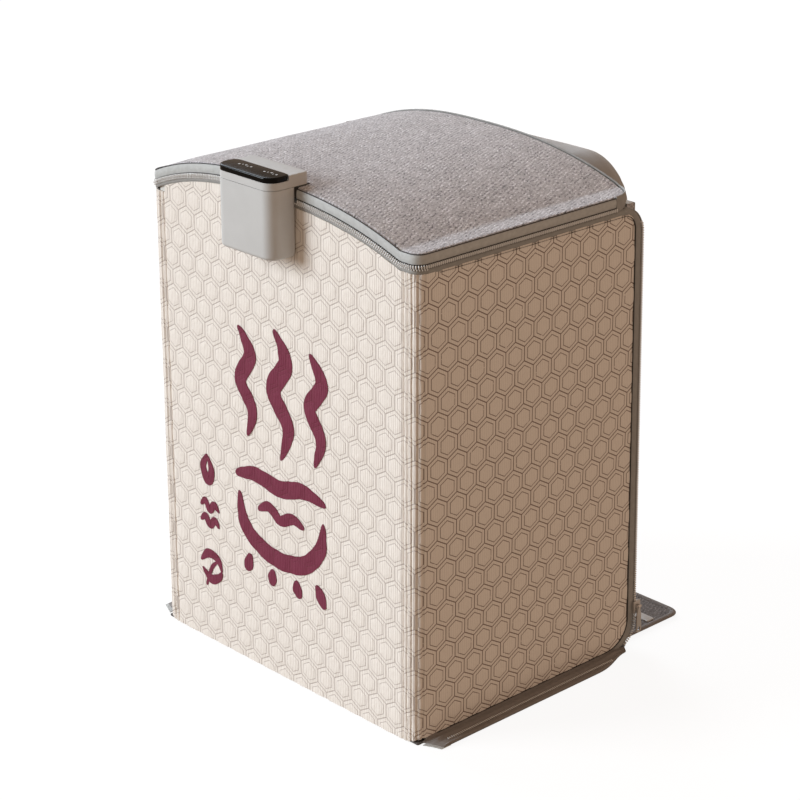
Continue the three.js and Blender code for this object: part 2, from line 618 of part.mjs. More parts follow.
function pullTab() {
  const half = PULL_WIDTH / 2;
  const neck = NECK_WIDTH / 2;
  const tip = PIN_RISE - PULL_LENGTH;
  const shoulder = PIN_RISE - NECK_LENGTH;
  const tab = outline([
    [-neck, PIN_RISE], [-neck, shoulder, 1], [-half * 0.75, shoulder - 3, 1], [-half, tip, half * 0.9],
    [half, tip, half * 0.9], [half * 0.75, shoulder - 3, 1], [neck, shoulder, 1], [neck, PIN_RISE],
  ]);
  const eye = new THREE.Path();
  eye.absellipse(0, tip + 4.5, PULL_HOLE_R, PULL_HOLE_R * 1.3, 0, 2 * Math.PI);
  tab.holes.push(eye);
  const along = (radius, length) => new THREE.CylinderGeometry(radius, radius, length, 12)
    .translate(PIN_X, 0, PIN_RISE);
  const plate = plateX(tab, PIN_X - PULL_T / 2, PIN_X + PULL_T / 2);
  return cut(join(plate, along(KNUCKLE_R, NECK_WIDTH)), along(PIN_R + PIN_CLEAR, NECK_WIDTH + 2));
}

function sliders() {
  const y = rearY(SLIDER_Z);
  for (const [side, place] of SIDES) {
    const seat = (geometry) => place(geometry.rotateX(LEAN_ANGLE).translate(HALF_WIDTH + GAP, y, SLIDER_Z));
    add(`rear_slider_${side}`, 'metal', seat(sliderBody()));
    add(`rear_pull_${side}`, 'metal', seat(pullTab()));
  }
  // The cover's slider is parked at the rear of the left edge, with its pull along the edge.
  const park = (geometry) => mirrorX(geometry.rotateX(Math.PI / 2)
    .translate(HALF_WIDTH + GAP, REAR_TOP_Y - COVER_SLIDER_INSET, WALL_TOP + COVER_BOTTOM + CHAIN_WIDTH));
  add('cover_slider', 'metal', park(sliderBody()));
  add('cover_pull', 'metal', park(pullTab()));
}

// ---------------------------------------------------------------- assembly

const SIDES = [['right', (geometry) => geometry], ['left', mirrorX]];

frontWall();
for (const [side, place] of SIDES) {
  sideWall(side, place);
}
base();
floorFlap();
rearPanel();
legSleeve();
cover();
controlPod();
sliders();

export default group;
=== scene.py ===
"""A portable foot and calf sauna: a padded folding box with a domed zip-on cover and a clip-on control pod.

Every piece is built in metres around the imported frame. Lengths in this file are millimetres until they are laid
into a mesh.
"""
from __future__ import annotations

import logging
import math
import sys
from contextlib import contextmanager
from dataclasses import dataclass
from enum import Enum
from typing import Callable, Iterator, Sequence

import bpy
import numpy as np
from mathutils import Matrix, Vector


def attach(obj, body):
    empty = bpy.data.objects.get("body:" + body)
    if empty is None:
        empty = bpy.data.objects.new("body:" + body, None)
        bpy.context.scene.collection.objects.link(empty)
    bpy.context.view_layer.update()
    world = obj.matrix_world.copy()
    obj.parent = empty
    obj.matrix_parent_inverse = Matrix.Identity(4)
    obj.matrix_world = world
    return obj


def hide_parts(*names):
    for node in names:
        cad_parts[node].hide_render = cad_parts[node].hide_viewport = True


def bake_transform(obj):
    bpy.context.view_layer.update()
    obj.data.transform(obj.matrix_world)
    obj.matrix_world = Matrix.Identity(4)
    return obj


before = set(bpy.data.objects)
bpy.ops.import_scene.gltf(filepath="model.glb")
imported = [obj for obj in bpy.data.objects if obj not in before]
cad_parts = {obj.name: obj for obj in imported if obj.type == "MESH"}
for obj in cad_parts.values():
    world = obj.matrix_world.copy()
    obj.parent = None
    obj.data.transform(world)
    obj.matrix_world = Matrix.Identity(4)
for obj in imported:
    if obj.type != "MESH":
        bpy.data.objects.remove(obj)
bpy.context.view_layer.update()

MM = 0.001
ROOT3 = math.sqrt(3.0)
log = logging.getLogger("sauna")

FAR_BELOW = (0.0, 0.0, -4000.0)
FAR_AHEAD = (0.0, -3000.0, 250.0)

Array = np.ndarray
Place = Callable[[Array, Array], Array]


# ---------------------------------------------------------------- shader building


class Value:
    """A shader socket that takes part in Python sums."""

    def __init__(self, shader: "Shader", socket: bpy.types.NodeSocket) -> None:
        """Keeps the socket and the shader that it belongs to."""
        self.shader, self.socket = shader, socket

    def __add__(self, other: "Value | float") -> "Value":
        """Sum of the two."""
        return self.shader.math("ADD", self, other)

    __radd__ = __add__

    def __sub__(self, other: "Value | float") -> "Value":
        """This less the other."""
        return self.shader.math("SUBTRACT", self, other)

    def __rsub__(self, other: float) -> "Value":
        """The other less this."""
        return self.shader.math("SUBTRACT", other, self)

    def __mul__(self, other: "Value | float") -> "Value":
        """Product of the two."""
        return self.shader.math("MULTIPLY", self, other)

    __rmul__ = __mul__

    def __truediv__(self, other: "Value | float") -> "Value":
        """This over the other."""
        return self.shader.math("DIVIDE", self, other)

    def __lt__(self, other: "Value | float") -> "Value":
        """1 where this is the smaller."""
        return self.shader.math("LESS_THAN", self, other)

    def __abs__(self) -> "Value":
        """Size without its sign."""
        return self.shader.math("ABSOLUTE", self)

    def at_least(self, other: "Value | float") -> "Value":
        """The larger of the two."""
        return self.shader.math("MAXIMUM", self, other)

    def fract(self) -> "Value":
        """What is left after the whole number below."""
        return self.shader.math("FRACT", self)

    def floor(self) -> "Value":
        """The whole number below."""
        return self.shader.math("FLOOR", self)

    def sine(self) -> "Value":
        """Its sine, in radians."""
        return self.shader.math("SINE", self)

    def ease(self, low: float, high: float) -> "Value":
        """A smooth step from 0 at low to 1 at high."""
        return self.shader.node("ShaderNodeMapRange", {"interpolation_type": "SMOOTHSTEP"},
                                {"Value": self, "From Min": low, "From Max": high})


class Shader:
    """One material and the nodes that colour it."""

    def __init__(self, name: str) -> None:
        """Makes a material with a plain Principled surface."""
        self.material = bpy.data.materials.new(name)
        self.material.use_nodes = True
        self.nodes, self.links = self.material.node_tree.nodes, self.material.node_tree.links
        self.surface = next(n for n in self.nodes if n.type == "BSDF_PRINCIPLED")

    def feed(self, socket: bpy.types.NodeSocket, value: object) -> None:
        """Puts a value on a socket, or links one to it."""
        if isinstance(value, Value):
            self.links.new(value.socket, socket)
        elif socket.type == "RGBA" and len(value) == 3:
            socket.default_value = (*value, 1.0)
        else:
            socket.default_value = value

    def node(self, kind: str, settings: dict | None = None, inputs: dict | None = None, out: int | str = 0) -> Value:
        """Adds one node.

        Args:
            kind: The node's type.
            settings: Its own settings, set before anything else; "stops" fills a colour ramp.
            inputs: Values or links, by socket name or number.
            out: Which output is wanted.

        Returns:
            The chosen output.
        """
        made = self.nodes.new(kind)
        for key, value in (settings or {}).items():
            if key == "stops":
                for index, (place, colour) in enumerate(value):
                    stops = made.color_ramp.elements
                    stop = stops[index] if index < len(stops) else stops.new(place)
                    stop.position, stop.color = place, (*colour, 1.0)
            else:
                setattr(made, key, value)
        for key, value in (inputs or {}).items():
            self.feed(made.inputs[key], value)
        return Value(self, made.outputs[out])

    def math(self, operation: str, first: "Value | float", second: "Value | float" = 0.0) -> Value:
        """One Math node."""
        return self.node("ShaderNodeMath", {"operation": operation}, {0: first, 1: second})

    def mix(self, factor: "Value | float", first: object, second: object) -> Value:
        """A colour between two colours."""
        return self.node("ShaderNodeMix", {"data_type": "RGBA"}, {0: factor, 6: first, 7: second}, 2)

    def cloth(self) -> tuple[Value, Value]:
        """The two directions of the piece's own cloth map, in metres."""
        flat = self.node("ShaderNodeUVMap", {"uv_map": "cloth"})
        parts = self.nodes.new("ShaderNodeSeparateXYZ")
        self.links.new(flat.socket, parts.inputs[0])
        return Value(self, parts.outputs[0]), Value(self, parts.outputs[1])

    def place(self) -> Value:
        """Object coordinates."""
        return self.node("ShaderNodeTexCoord", out="Object")

    def noise(self, where: Value, scale: float, detail: float = 2.0) -> Value:
        """Cloudy noise, about 0 to 1."""
        return self.node("ShaderNodeTexNoise", None, {"Vector": where, "Scale": scale, "Detail": detail})

    def vector(self, x: "Value | float", y: "Value | float") -> Value:
        """A flat vector from two values."""
        return self.node("ShaderNodeCombineXYZ", None, {0: x, 1: y})

    def finish(self, colour: object, roughness: object, height: Value | None = None, depth: float = 0.2,
               strength: float = 0.6, **constants: float) -> bpy.types.Material:
        """Feeds the surface.

        Args:
            colour: Base colour, a value or a link.
            roughness: Roughness, a value or a link.
            height: Relief from 0 to 1, or None.
            depth: What a relief of 1 stands for, in millimetres.
            strength: Strength of the bump.
            constants: Sockets with one value all over, with _ for a space.

        Returns:
            The material.
        """
        self.feed(self.surface.inputs["Base Color"], colour)
        self.feed(self.surface.inputs["Roughness"], roughness)
        if height is not None:
            bump = self.node("ShaderNodeBump", None, {"Strength": strength, "Distance": depth * MM, "Height": height},
                             "Normal")
            self.feed(self.surface.inputs["Normal"], bump)
        for name, value in constants.items():
            self.surface.inputs[name.replace("_", " ")].default_value = value
        return self.material


# ---------------------------------------------------------------- finishes


@dataclass(frozen=True)
class PrintedCloth:
    """Quilted ribbed cloth of one colour with a printed honeycomb, its lines painted fainter on the front to stand in
    for the key light washing them out there, and painted shade in the troughs of its ribs.
    """

    name: str = "printed_cloth"
    ground: tuple[float, float, float] = (0.88, 0.82, 0.75)
    line: tuple[float, float, float] = (0.10, 0.032, 0.018)
    cell: float = 26.0
    rib: float = 2.6
    ink: tuple[float, float, float] | None = None

    def build(self) -> bpy.types.Material:
        """Makes the material, or its inked form where ink is given."""
        s = Shader(self.name)
        u, v = s.cloth()
        x, y = u / (self.cell * MM), v / (self.cell * MM * ROOT3)
        ax, ay = x.fract() - 0.5, (y.fract() - 0.5) * ROOT3
        bx, by = (x + 0.5).fract() - 0.5, ((y + 0.5).fract() - 0.5) * ROOT3
        first = (ax * ax + ay * ay) < (bx * bx + by * by)
        gx, gy = abs(ax * first + bx * (1.0 - first)), abs(ay * first + by * (1.0 - first))
        reach = gx.at_least(gx * 0.5 + gy * (ROOT3 / 2))
        outer = reach.ease(0.474, 0.486)
        wear = s.noise(s.vector(u, v), 300.0).ease(0.26, 0.40)
        inner = (1.0 - abs(reach - 0.345).ease(0.009, 0.022)) * wear
        rib = (u * (2 * math.pi / (self.rib * MM))).sine() * 0.5 + 0.5
        fibre = s.noise(s.vector(u, v * 0.35), 2600.0, 1.0)
        if self.ink:
            base = s.mix(fibre.ease(0.3, 0.72), tuple(c * 0.78 for c in self.ink), self.ink)
            shade = outer * 0.16 + inner * 0.08
        else:
            # turn grows round the upright bends: the print's lines are drawn weaker on the front than on the sides,
            # painted light that stands in for the bright key light washing the print out on the lit front.
            turn = abs(u).ease(0.191, 0.2065)
            base = s.mix(fibre.ease(0.25, 0.8), tuple(c * 0.95 for c in self.ground), self.ground)
            shade = (outer * (turn * 0.42 + 0.40)).at_least(inner * (turn * 0.42 + 0.36))
        colour = s.mix(shade, base, self.line)
        # Painted shade: the troughs of the ribs are darkened a little towards the line colour, on top of their bump.
        colour = s.mix((1.0 - rib) * 0.10, colour, self.line)
        pucker = s.noise(s.vector(u, v * 0.55), 210.0, 3.0)
        height = rib * 0.5 + fibre * 0.35 + pucker * 1.5 - outer * 0.45 - inner * 0.35
        return s.finish(colour, 0.82, height, 0.6, 0.85)


@dataclass(frozen=True)
class Melange:
    """Heather-grey woven linen: pale and dark yarns in a slanted weave."""

    name: str = "grey_linen"
    dark: tuple[float, float, float] = (0.13, 0.12, 0.13)
    mid: tuple[float, float, float] = (0.47, 0.445, 0.455)
    pale: tuple[float, float, float] = (0.86, 0.85, 0.87)
    yarn: float = 1.15

    def build(self) -> bpy.types.Material:
        """Makes the material."""
        s = Shader(self.name)
        u, v = s.cloth()
        across, along = u / (self.yarn * MM), v / (self.yarn * 1.7 * MM)
        slant = along + across * 0.5
        cell = s.vector(across.floor(), slant.floor())
        pick = s.node("ShaderNodeTexWhiteNoise", None, {"Vector": cell}, "Value")
        cloud = s.noise(s.vector(u, v), 55.0, 3.0)
        twill = ((along * 0.5 + across * 0.8) * (2 * math.pi / 3.0)).sine()
        tone = pick * 0.66 + cloud * 0.32 + twill * 0.09
        colour = s.node("ShaderNodeValToRGB", {"stops": [(0.10, self.dark), (0.36, self.mid), (0.62, self.mid),
                                                         (0.93, self.pale)]}, {"Fac": tone})
        bulge = (across.fract() * math.pi).sine() * (slant.fract() * math.pi).sine()
        return s.finish(colour, 0.93, bulge * 0.7 + pick * 0.3, 0.45, 0.75, Sheen_Weight=0.2)


@dataclass(frozen=True)
class Tape:
    """Smooth woven tape with a fine cross rib."""

    name: str
    colour: tuple[float, float, float]
    rib: float = 1.1

    def build(self) -> bpy.types.Material:
        """Makes the material."""
        s = Shader(self.name)
        u, v = s.cloth()
        rib = (u * (2 * math.pi / (self.rib * MM))).sine() * 0.5 + 0.5
        cloud = s.noise(s.vector(u, v), 190.0, 3.0)
        tone = s.mix(cloud.ease(0.3, 0.75), tuple(c * 0.86 for c in self.colour), self.colour)
        return s.finish(tone, 0.68, rib * 0.6 + cloud * 0.4, 0.16, 0.6, Sheen_Weight=0.1)


class Ground(Enum):
    """What the fine relief of a moulded or woven stock looks like."""

    GRAIN = "grain"
    WEAVE = "weave"
    CELLS = "cells"


@dataclass(frozen=True)
class Stock:
    """A finish that needs no cloth map: plastics, metals, foam, film, lining and board."""

    name: str
    colour: tuple[float, float, float]
    roughness: float = 0.5
    metallic: float = 0.0
    ground: Ground = Ground.GRAIN
    scale: float = 900.0
    depth: float = 0.05
    change: float = 0.12
    coat: float = 0.0
    specular: float = 0.5

    def build(self) -> bpy.types.Material:
        """Makes the material."""
        s = Shader(self.name)
        where = s.place()
        if self.ground is Ground.CELLS:
            relief = s.node("ShaderNodeTexVoronoi", None, {"Vector": where, "Scale": self.scale}, "Distance")
        elif self.ground is Ground.WEAVE:
            first = s.node("ShaderNodeTexWave", {"bands_direction": "X"}, {"Vector": where, "Scale": self.scale})
            second = s.node("ShaderNodeTexWave", {"bands_direction": "Z"}, {"Vector": where, "Scale": self.scale})
            relief = first * 0.5 + second * 0.5
        else:
            relief = s.noise(where, self.scale, 3.0)
        cloud = s.noise(where, 38.0, 3.0)
        tone = s.mix(cloud.ease(0.3, 0.75), tuple(c * (1 - self.change) for c in self.colour), self.colour)
        rough = cloud * 0.08 + (self.roughness - 0.04)
        return s.finish(tone, rough, relief, self.depth, 0.5, Metallic=self.metallic, Coat_Weight=self.coat,
                        Specular_IOR_Level=self.specular)


@dataclass(frozen=True)
class Satin:
    """Soft satin with a fine weave and a low sheen."""

    name: str = "grey_satin"
    colour: tuple[float, float, float] = (0.37, 0.365, 0.36)

    def build(self) -> bpy.types.Material:
        """Makes the material."""
        s = Shader(self.name)
        u, v = s.cloth()
        cloud = s.noise(s.vector(u * 3.0, v), 30.0, 4.0)
        thread = (v * (2 * math.pi / (0.9 * MM))).sine() * 0.5 + 0.5
        tone = s.mix(cloud.ease(0.3, 0.8), tuple(c * 0.88 for c in self.colour), self.colour)
        return s.finish(tone, cloud * 0.12 + 0.36, thread * 0.3 + cloud * 0.7, 0.5, 0.5, Sheen_Weight=0.35)


class Finishes:
    """Every finish of the sauna, each made once."""

    def __init__(self) -> None:
        """Makes the materials."""
        grey = (0.33, 0.325, 0.31)
        self.cloth = PrintedCloth().build()
        self.ink = PrintedCloth(name="wine_ink", ink=(0.20, 0.019, 0.056)).build()
        self.linen = Melange().build()
        self.floor_linen = Melange("dark_linen", (0.05, 0.045, 0.045), (0.16, 0.145, 0.14), (0.33, 0.31, 0.30)).build()
        self.tape = Tape("grey_tape", grey).build()
        self.rim_tape = Tape("rim_tape", (0.50, 0.51, 0.50)).build()
        self.foot_tape = Tape("foot_tape", (0.225, 0.20, 0.185)).build()
        self.seam = Tape("dark_piping", (0.028, 0.024, 0.024)).build()
        self.satin = Satin().build()
        self.teeth = Stock("zip_teeth", (0.80, 0.80, 0.79), 0.36, 0.15, depth=0.02).build()
        self.metal = Stock("slider_metal", (0.62, 0.60, 0.58), 0.30, 0.75, scale=600.0, depth=0.03).build()
        self.plastic = Stock("pod_plastic", (0.545, 0.545, 0.535), 0.52, scale=2400.0, depth=0.04, change=0.04).build()
        self.glass = Stock("pod_glass", (0.002, 0.002, 0.002), 0.16, scale=60.0, depth=0.004, specular=0.16).build()
        self.icon = Stock("pod_marks", (0.62, 0.62, 0.62), 0.5).build()
        self.lining = Stock("wipe_clean_lining", (0.48, 0.455, 0.42), 0.45, ground=Ground.WEAVE, scale=420.0).build()
        self.foam = Stock("board_foam", (0.68, 0.66, 0.62), 0.9, ground=Ground.CELLS, scale=900.0, depth=0.3).build()
        self.film = Stock("heating_film", (0.03, 0.03, 0.034), 0.4, scale=300.0).build()
        self.grip = Stock("grip_cloth", (0.12, 0.11, 0.105), 0.85, ground=Ground.WEAVE, scale=500.0, depth=0.3).build()
        self.circuit = Stock("circuit_board", (0.02, 0.10, 0.04), 0.45).build()
        self.black = Stock("black_plastic", (0.012, 0.012, 0.013), 0.45, scale=1500.0).build()


# ---------------------------------------------------------------- sizes and places


@dataclass(frozen=True)
class Layout:
    """Sizes that several pieces share, in millimetres, and the curves that they lie on."""

    half_width: float = 200.0
    front_y: float = -155.0
    rear_top_y: float = 159.0
    rear_lean: float = 12.0
    wall_top: float = 500.0
    corner_r: float = 12.0
    arch_rise: float = 30.0
    crown_x: float = -30.0
    foot_left: float = -196.0
    foot_right: float = 176.0
    arch_power: float = 2.5
    cover_rear_y: float = 151.0
    cover_rear_r: float = 34.0
    cell: float = 26.0
    creases: tuple[float, ...] = (180.5, 186.0, 191.5, 197.5, 203.5)
    crease_depth: float = 1.7
    pillow: float = 0.5
    groove: float = 0.18
    front_belly: float = 2.2
    side_belly: float = 1.6
    slack: float = 0.35

    @property
    def flat(self) -> float:
        """Half of the flat stretch of the front."""
        return self.half_width - self.corner_r

    @property
    def bend(self) -> float:
        """Where the upright bend ends, measured round the wrap from the middle of the front."""
        return self.flat + self.corner_r * math.pi / 2

    def arch(self, x: Array) -> Array:
        """Height of the top edge over each place across the box."""
        left = (self.crown_x - x) / (self.crown_x - self.foot_left)
        right = (x - self.crown_x) / (self.foot_right - self.crown_x)
        reach = np.maximum(np.where(x < self.crown_x, left, right), 0.0)
        return self.wall_top + self.arch_rise * np.maximum(0.0, 1.0 - reach ** self.arch_power)

    def rear(self, z: Array) -> Array:
        """The rear edge of a side wall at each height."""
        return self.rear_top_y + self.rear_lean * (self.wall_top - z) / self.wall_top

    def wrap(self, u: Array, out: Array | float = 0.0) -> tuple[Array, Array]:
        """Plan position round the wrap.

        Args:
            u: Distance round the wrap from the middle of the front, to the right.
            out: How far outside the wrap.

        Returns:
            The X and Y of each point.
        """
        size, side = np.abs(u), np.where(u < 0, -1.0, 1.0)
        turn = np.clip((size - self.flat) / self.corner_r, 0.0, math.pi / 2)
        past = np.maximum(size - self.bend, 0.0)
        reach = self.corner_r + out
        x = np.minimum(size, self.flat) + reach * np.sin(turn)
        y = self.front_y + self.corner_r - reach * np.cos(turn) + past
        return side * x, y

    def honeycomb(self, u: Array, v: Array) -> Array:
        """Distance from the middle of the print's cell, 0.5 at its border."""
        x, y = u / self.cell, v / (self.cell * ROOT3)
        ax, ay = x % 1 - 0.5, (y % 1 - 0.5) * ROOT3
        bx, by = (x + 0.5) % 1 - 0.5, ((y + 0.5) % 1 - 0.5) * ROOT3
        first = ax * ax + ay * ay < bx * bx + by * by
        gx, gy = np.abs(np.where(first, ax, bx)), np.abs(np.where(first, ay, by))
        return np.maximum(gx, gx * 0.5 + gy * ROOT3 / 2)

    def quilt(self, u: Array, v: Array) -> Array:
        """How far the printed cloth stands proud of its board."""
        size = np.abs(u)
        reach = self.honeycomb(u, v)
        corner = 1.0 - 0.65 * np.clip(1.0 - np.abs(size - 192.0) / 16.0, 0.0, 1.0)
        rise = corner * (self.pillow * (1.0 - ease(reach, 0.22, 0.40)) - self.groove * ease(reach, 0.42, 0.5))
        for crease in self.creases:
            rise = rise - self.crease_depth * np.exp(-((size - crease) ** 2))
        level = np.sin(math.pi * np.clip(v / self.wall_top, 0.0, 1.0))
        front = self.front_belly * level * np.cos(math.pi / 2 * np.clip(size / 178.0, 0.0, 1.0))
        side = self.side_belly * level * np.sin(math.pi * np.clip((size - 208.0) / 280.0, 0.0, 1.0))
        slack = self.slack * np.sin(u / 31.0 + 1.3 * np.sin(v / 57.0)) * np.sin(v / 43.0 + 0.8)
        return rise + front + side + slack * level


def ease(x: Array, low: float, high: float) -> Array:
    """A smooth step from 0 at low to 1 at high."""
    t = np.clip((x - low) / (high - low), 0.0, 1.0)
    return t * t * (3.0 - 2.0 * t)


def stack(x: object, y: object, z: object) -> Array:
    """Points from three arrays or numbers."""
    return np.stack(np.broadcast_arrays(x, y, z), -1).astype(float)


# ---------------------------------------------------------------- mesh helpers


def begin() -> None:
    """Leaves object mode clean, with nothing selected."""
    if bpy.context.object and bpy.context.object.mode != "OBJECT":
        bpy.ops.object.mode_set(mode="OBJECT")
    bpy.ops.object.select_all(action="DESELECT")


def activate(piece: bpy.types.Object) -> None:
    """Selects one piece alone and makes it active."""
    begin()
    piece.select_set(True)
    bpy.context.view_layer.objects.active = piece


@contextmanager
def editing(piece: bpy.types.Object) -> Iterator[None]:
    """Holds one piece in edit mode."""
    activate(piece)
    bpy.ops.object.mode_set(mode="EDIT")
    yield
    bpy.ops.object.mode_set(mode="OBJECT")


def read(items: bpy.types.bpy_prop_collection, key: str, width: int = 3) -> Array:
    """A vector, or with a width of 1 a number, of every item of a mesh."""
    values = np.empty(len(items) * width)
    items.foreach_get(key, values)
    return values.reshape(-1, width) if width > 1 else values


def modify(piece: bpy.types.Object, kind: str, **settings: object) -> None:
    """Adds one modifier to a piece and applies it."""
    activate(piece)
    modifier = piece.modifiers.new(kind.lower(), kind)
    for key, value in settings.items():
        setattr(modifier, key, value)
    bpy.ops.object.modifier_apply(modifier=modifier.name)


def close(piece: bpy.types.Object, fill: bool = True) -> None:
    """Merges doubles, fills open ends and turns the faces outwards."""
    with editing(piece):
        bpy.ops.mesh.select_all(action="SELECT")
        bpy.ops.mesh.remove_doubles(threshold=1e-5)
        if fill:
            bpy.ops.mesh.fill_holes(sides=0)
        bpy.ops.mesh.select_all(action="SELECT")
        bpy.ops.mesh.normals_make_consistent(inside=False)


def smooth(piece: bpy.types.Object, degrees: float = 35.0) -> None:
    """Shades a piece smooth but for its sharper edges."""
    activate(piece)
    bpy.ops.object.shade_smooth_by_angle(angle=math.radians(degrees))


def cut_faces(piece: bpy.types.Object, drop: Callable[[Array], Array]) -> None:
    """Deletes the faces that a test of their middles, in millimetres, picks."""
    with editing(piece):
        bpy.ops.mesh.select_mode(type="FACE")
        bpy.ops.mesh.select_all(action="DESELECT")
    faces = piece.data.polygons
    faces.foreach_set("select", drop(read(faces, "center") / MM))
    with editing(piece):
        bpy.ops.mesh.delete(type="FACE")


def face_away(piece: bpy.types.Object, centre: Sequence[float]) -> None:
    """Turns an open surface so that it faces away from a point."""
    faces = piece.data.polygons
    ahead = ((read(faces, "center") - np.array(centre) * MM) * read(faces, "normal")).sum(1)
    if (ahead * read(faces, "area", 1)).sum() < 0:
        piece.data.flip_normals()


def patch(name: str, columns: int, rows: int, place: Place, cloth: Place | None = None, tube: bool = False,
          thickness: float = 0.0, away: Sequence[float] = (0.0, 0.0, 250.0),
          drop: Callable[[Array], Array] | None = None) -> bpy.types.Object:
    """Starts a grid and lays it on a surface.

    Args:
        name: The piece's name.
        columns: Faces along the first direction.
        rows: Faces along the second.
        place: Where each (s, t), both 0 to 1, lies, in millimetres.
        cloth: The cloth map of each (s, t), in millimetres.
        tube: Whether the second direction closes on itself, so that the piece is a tube with closed ends.
        thickness: Thickness given to an open surface, inwards.
        away: A point that an open surface faces away from.
        drop: Says which faces are cut out, from their middles in millimetres.

    Returns:
        The piece.
    """
    begin()
    bpy.ops.mesh.primitive_grid_add(x_subdivisions=columns, y_subdivisions=rows, size=2.0)
    piece = bpy.context.object
    piece.name = piece.data.name = name
    mesh = piece.data
    s, t = (read(mesh.vertices, "co")[:, :2].T + 1) / 2
    mesh.vertices.foreach_set("co", (place(s, t) * MM).astype(np.float32).ravel())
    while mesh.uv_layers:
        mesh.uv_layers.remove(mesh.uv_layers[0])
    if cloth is not None:
        corners = np.empty(len(mesh.loops), int)
        mesh.loops.foreach_get("vertex_index", corners)
        mesh.uv_layers.new(name="cloth").data.foreach_set("uv", (cloth(s, t) * MM)[corners].astype(np.float32).ravel())
    mesh.update()
    if drop is not None:
        cut_faces(piece, drop)
    if tube:
        close(piece)
    else:
        face_away(piece, away)
        if thickness:
            modify(piece, "SOLIDIFY", thickness=thickness * MM, offset=-1.0)
    smooth(piece)
    return piece


def along(length: float, width: float) -> Place:
    """A cloth map of that length and width."""
    return lambda s, t: np.stack([s * length, t * width], -1)


def refined(node: str, bevel: float, segments: int = 2) -> bpy.types.Object:
    """A merged copy of a CAD node with its edges softened, which stands for it."""
    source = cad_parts[node]
    piece = bpy.data.objects.new(f"{node}_piece", source.data.copy())
    bpy.context.scene.collection.objects.link(piece)
    close(piece, fill=False)
    modify(piece, "BEVEL", width=bevel * MM, segments=segments, limit_method="ANGLE", angle_limit=math.radians(38))
    smooth(piece)
    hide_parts(node)
    return piece


def rounded_block(name: str, low: Sequence[float], high: Sequence[float],
                  bevels: Sequence[tuple[Callable[[Vector, Vector], bool], float, int]]) -> bpy.types.Object:
    """A cube set to its corners and rounded edge by edge.

    Args:
        name: The piece's name.
        low: Its lowest corner.
        high: Its highest corner.
        bevels: Which edges, from their two ends in millimetres, by what radius and in how many steps.

    Returns:
        The piece.
    """
    begin()
    bpy.ops.mesh.primitive_cube_add(size=2.0)
    piece = bpy.context.object
    piece.name = piece.data.name = name
    middle, half = (Vector(low) + Vector(high)) / 2, (Vector(high) - Vector(low)) / 2
    for vertex in piece.data.vertices:
        vertex.co = Vector(m + h * c for m, h, c in zip(middle, half, vertex.co)) * MM
    for wanted, radius, steps in bevels:
        with editing(piece):
            bpy.ops.mesh.select_mode(type="EDGE")
            bpy.ops.mesh.select_all(action="DESELECT")
        points = piece.data.vertices
        for edge in piece.data.edges:
            first, second = (points[i].co / MM for i in edge.vertices)
            edge.select = bool(wanted(first, second))
        with editing(piece):
            bpy.ops.mesh.bevel(offset=radius * MM, segments=steps, profile=0.5)
    smooth(piece)
    return piece


def tooth_row(name: str, points: Array, outs: Array, pitch: float, size: tuple[float, float, float],
              shift: float = 0.0) -> bpy.types.Object:
    """A row of zip teeth along a line.

    Args:
        name: The piece's name.
        points: The line.
        outs: The outward direction at each of its points.
        pitch: From tooth to tooth.
        size: A tooth's length along the line, its thickness outwards and its width across.
        shift: How far along the line the first tooth stands.

    Returns:
        The row, as one mesh.
    """
    steps = np.linalg.norm(np.diff(points, axis=0), axis=1)
    reach = np.concatenate([[0.0], np.cumsum(steps)])
    stops = np.arange(pitch / 2 + shift, reach[-1], pitch)

    def at(where: Array, values: Array) -> Array:
        return np.stack([np.interp(where, reach, values[:, i]) for i in range(3)], -1)

    spots, out = at(stops, points), at(stops, outs)
    run = at(stops + 0.5, points) - at(stops - 0.5, points)
    run /= np.linalg.norm(run, axis=1)[:, None]
    across = np.cross(run, out)
    across /= np.linalg.norm(across, axis=1)[:, None]
    begin()
    bpy.ops.mesh.primitive_cube_add(size=1.0)
    piece = bpy.context.object
    piece.name = piece.data.name = name
    modify(piece, "BEVEL", width=0.26, segments=1, limit_method="NONE")
    shape = np.array([v.co for v in piece.data.vertices])
    faces = [list(p.vertices) for p in piece.data.polygons]
    local = shape * np.array(size)
    bodies = (spots[:, None] + local[None, :, :1] * run[:, None] + local[None, :, 1:2] * out[:, None]
              + local[None, :, 2:] * across[:, None])
    count = len(shape)
    every = [[i + k * count for i in face] for k in range(len(stops)) for face in faces]
    mesh = bpy.data.meshes.new(name)
    mesh.from_pydata((bodies.reshape(-1, 3) * MM).tolist(), [], every)
    old, piece.data = piece.data, mesh
    bpy.data.meshes.remove(old)
    close(piece, fill=False)
    smooth(piece, 50.0)
    return piece


def dress(piece: bpy.types.Object, material: bpy.types.Material, body: str | None = None,
          bend: tuple[str, str, Sequence[float], Sequence[float]] | None = None,
          instead: Sequence[str] = ()) -> bpy.types.Object:
    """Gives a piece its finish and its place on a body, or with a bend leaves it fixed where it stands.

    Args:
        piece: The piece.
        material: Its finish.
        body: The body that it rides on.
        bend: Or two bodies, and where it leaves the first and has joined the second, in millimetres; these are not
            used, only whether a bend is given.
        instead: CAD nodes that it stands for.

    Returns:
        The piece.
    """
    piece.data.materials.clear()
    piece.data.materials.append(material)
    if bend:
        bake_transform(piece)
    else:
        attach(piece, body)
    if instead:
        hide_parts(*instead)
    log.info("%s: %d faces", piece.name, len(piece.data.polygons))
    return piece


# ---------------------------------------------------------------- sub-assemblies


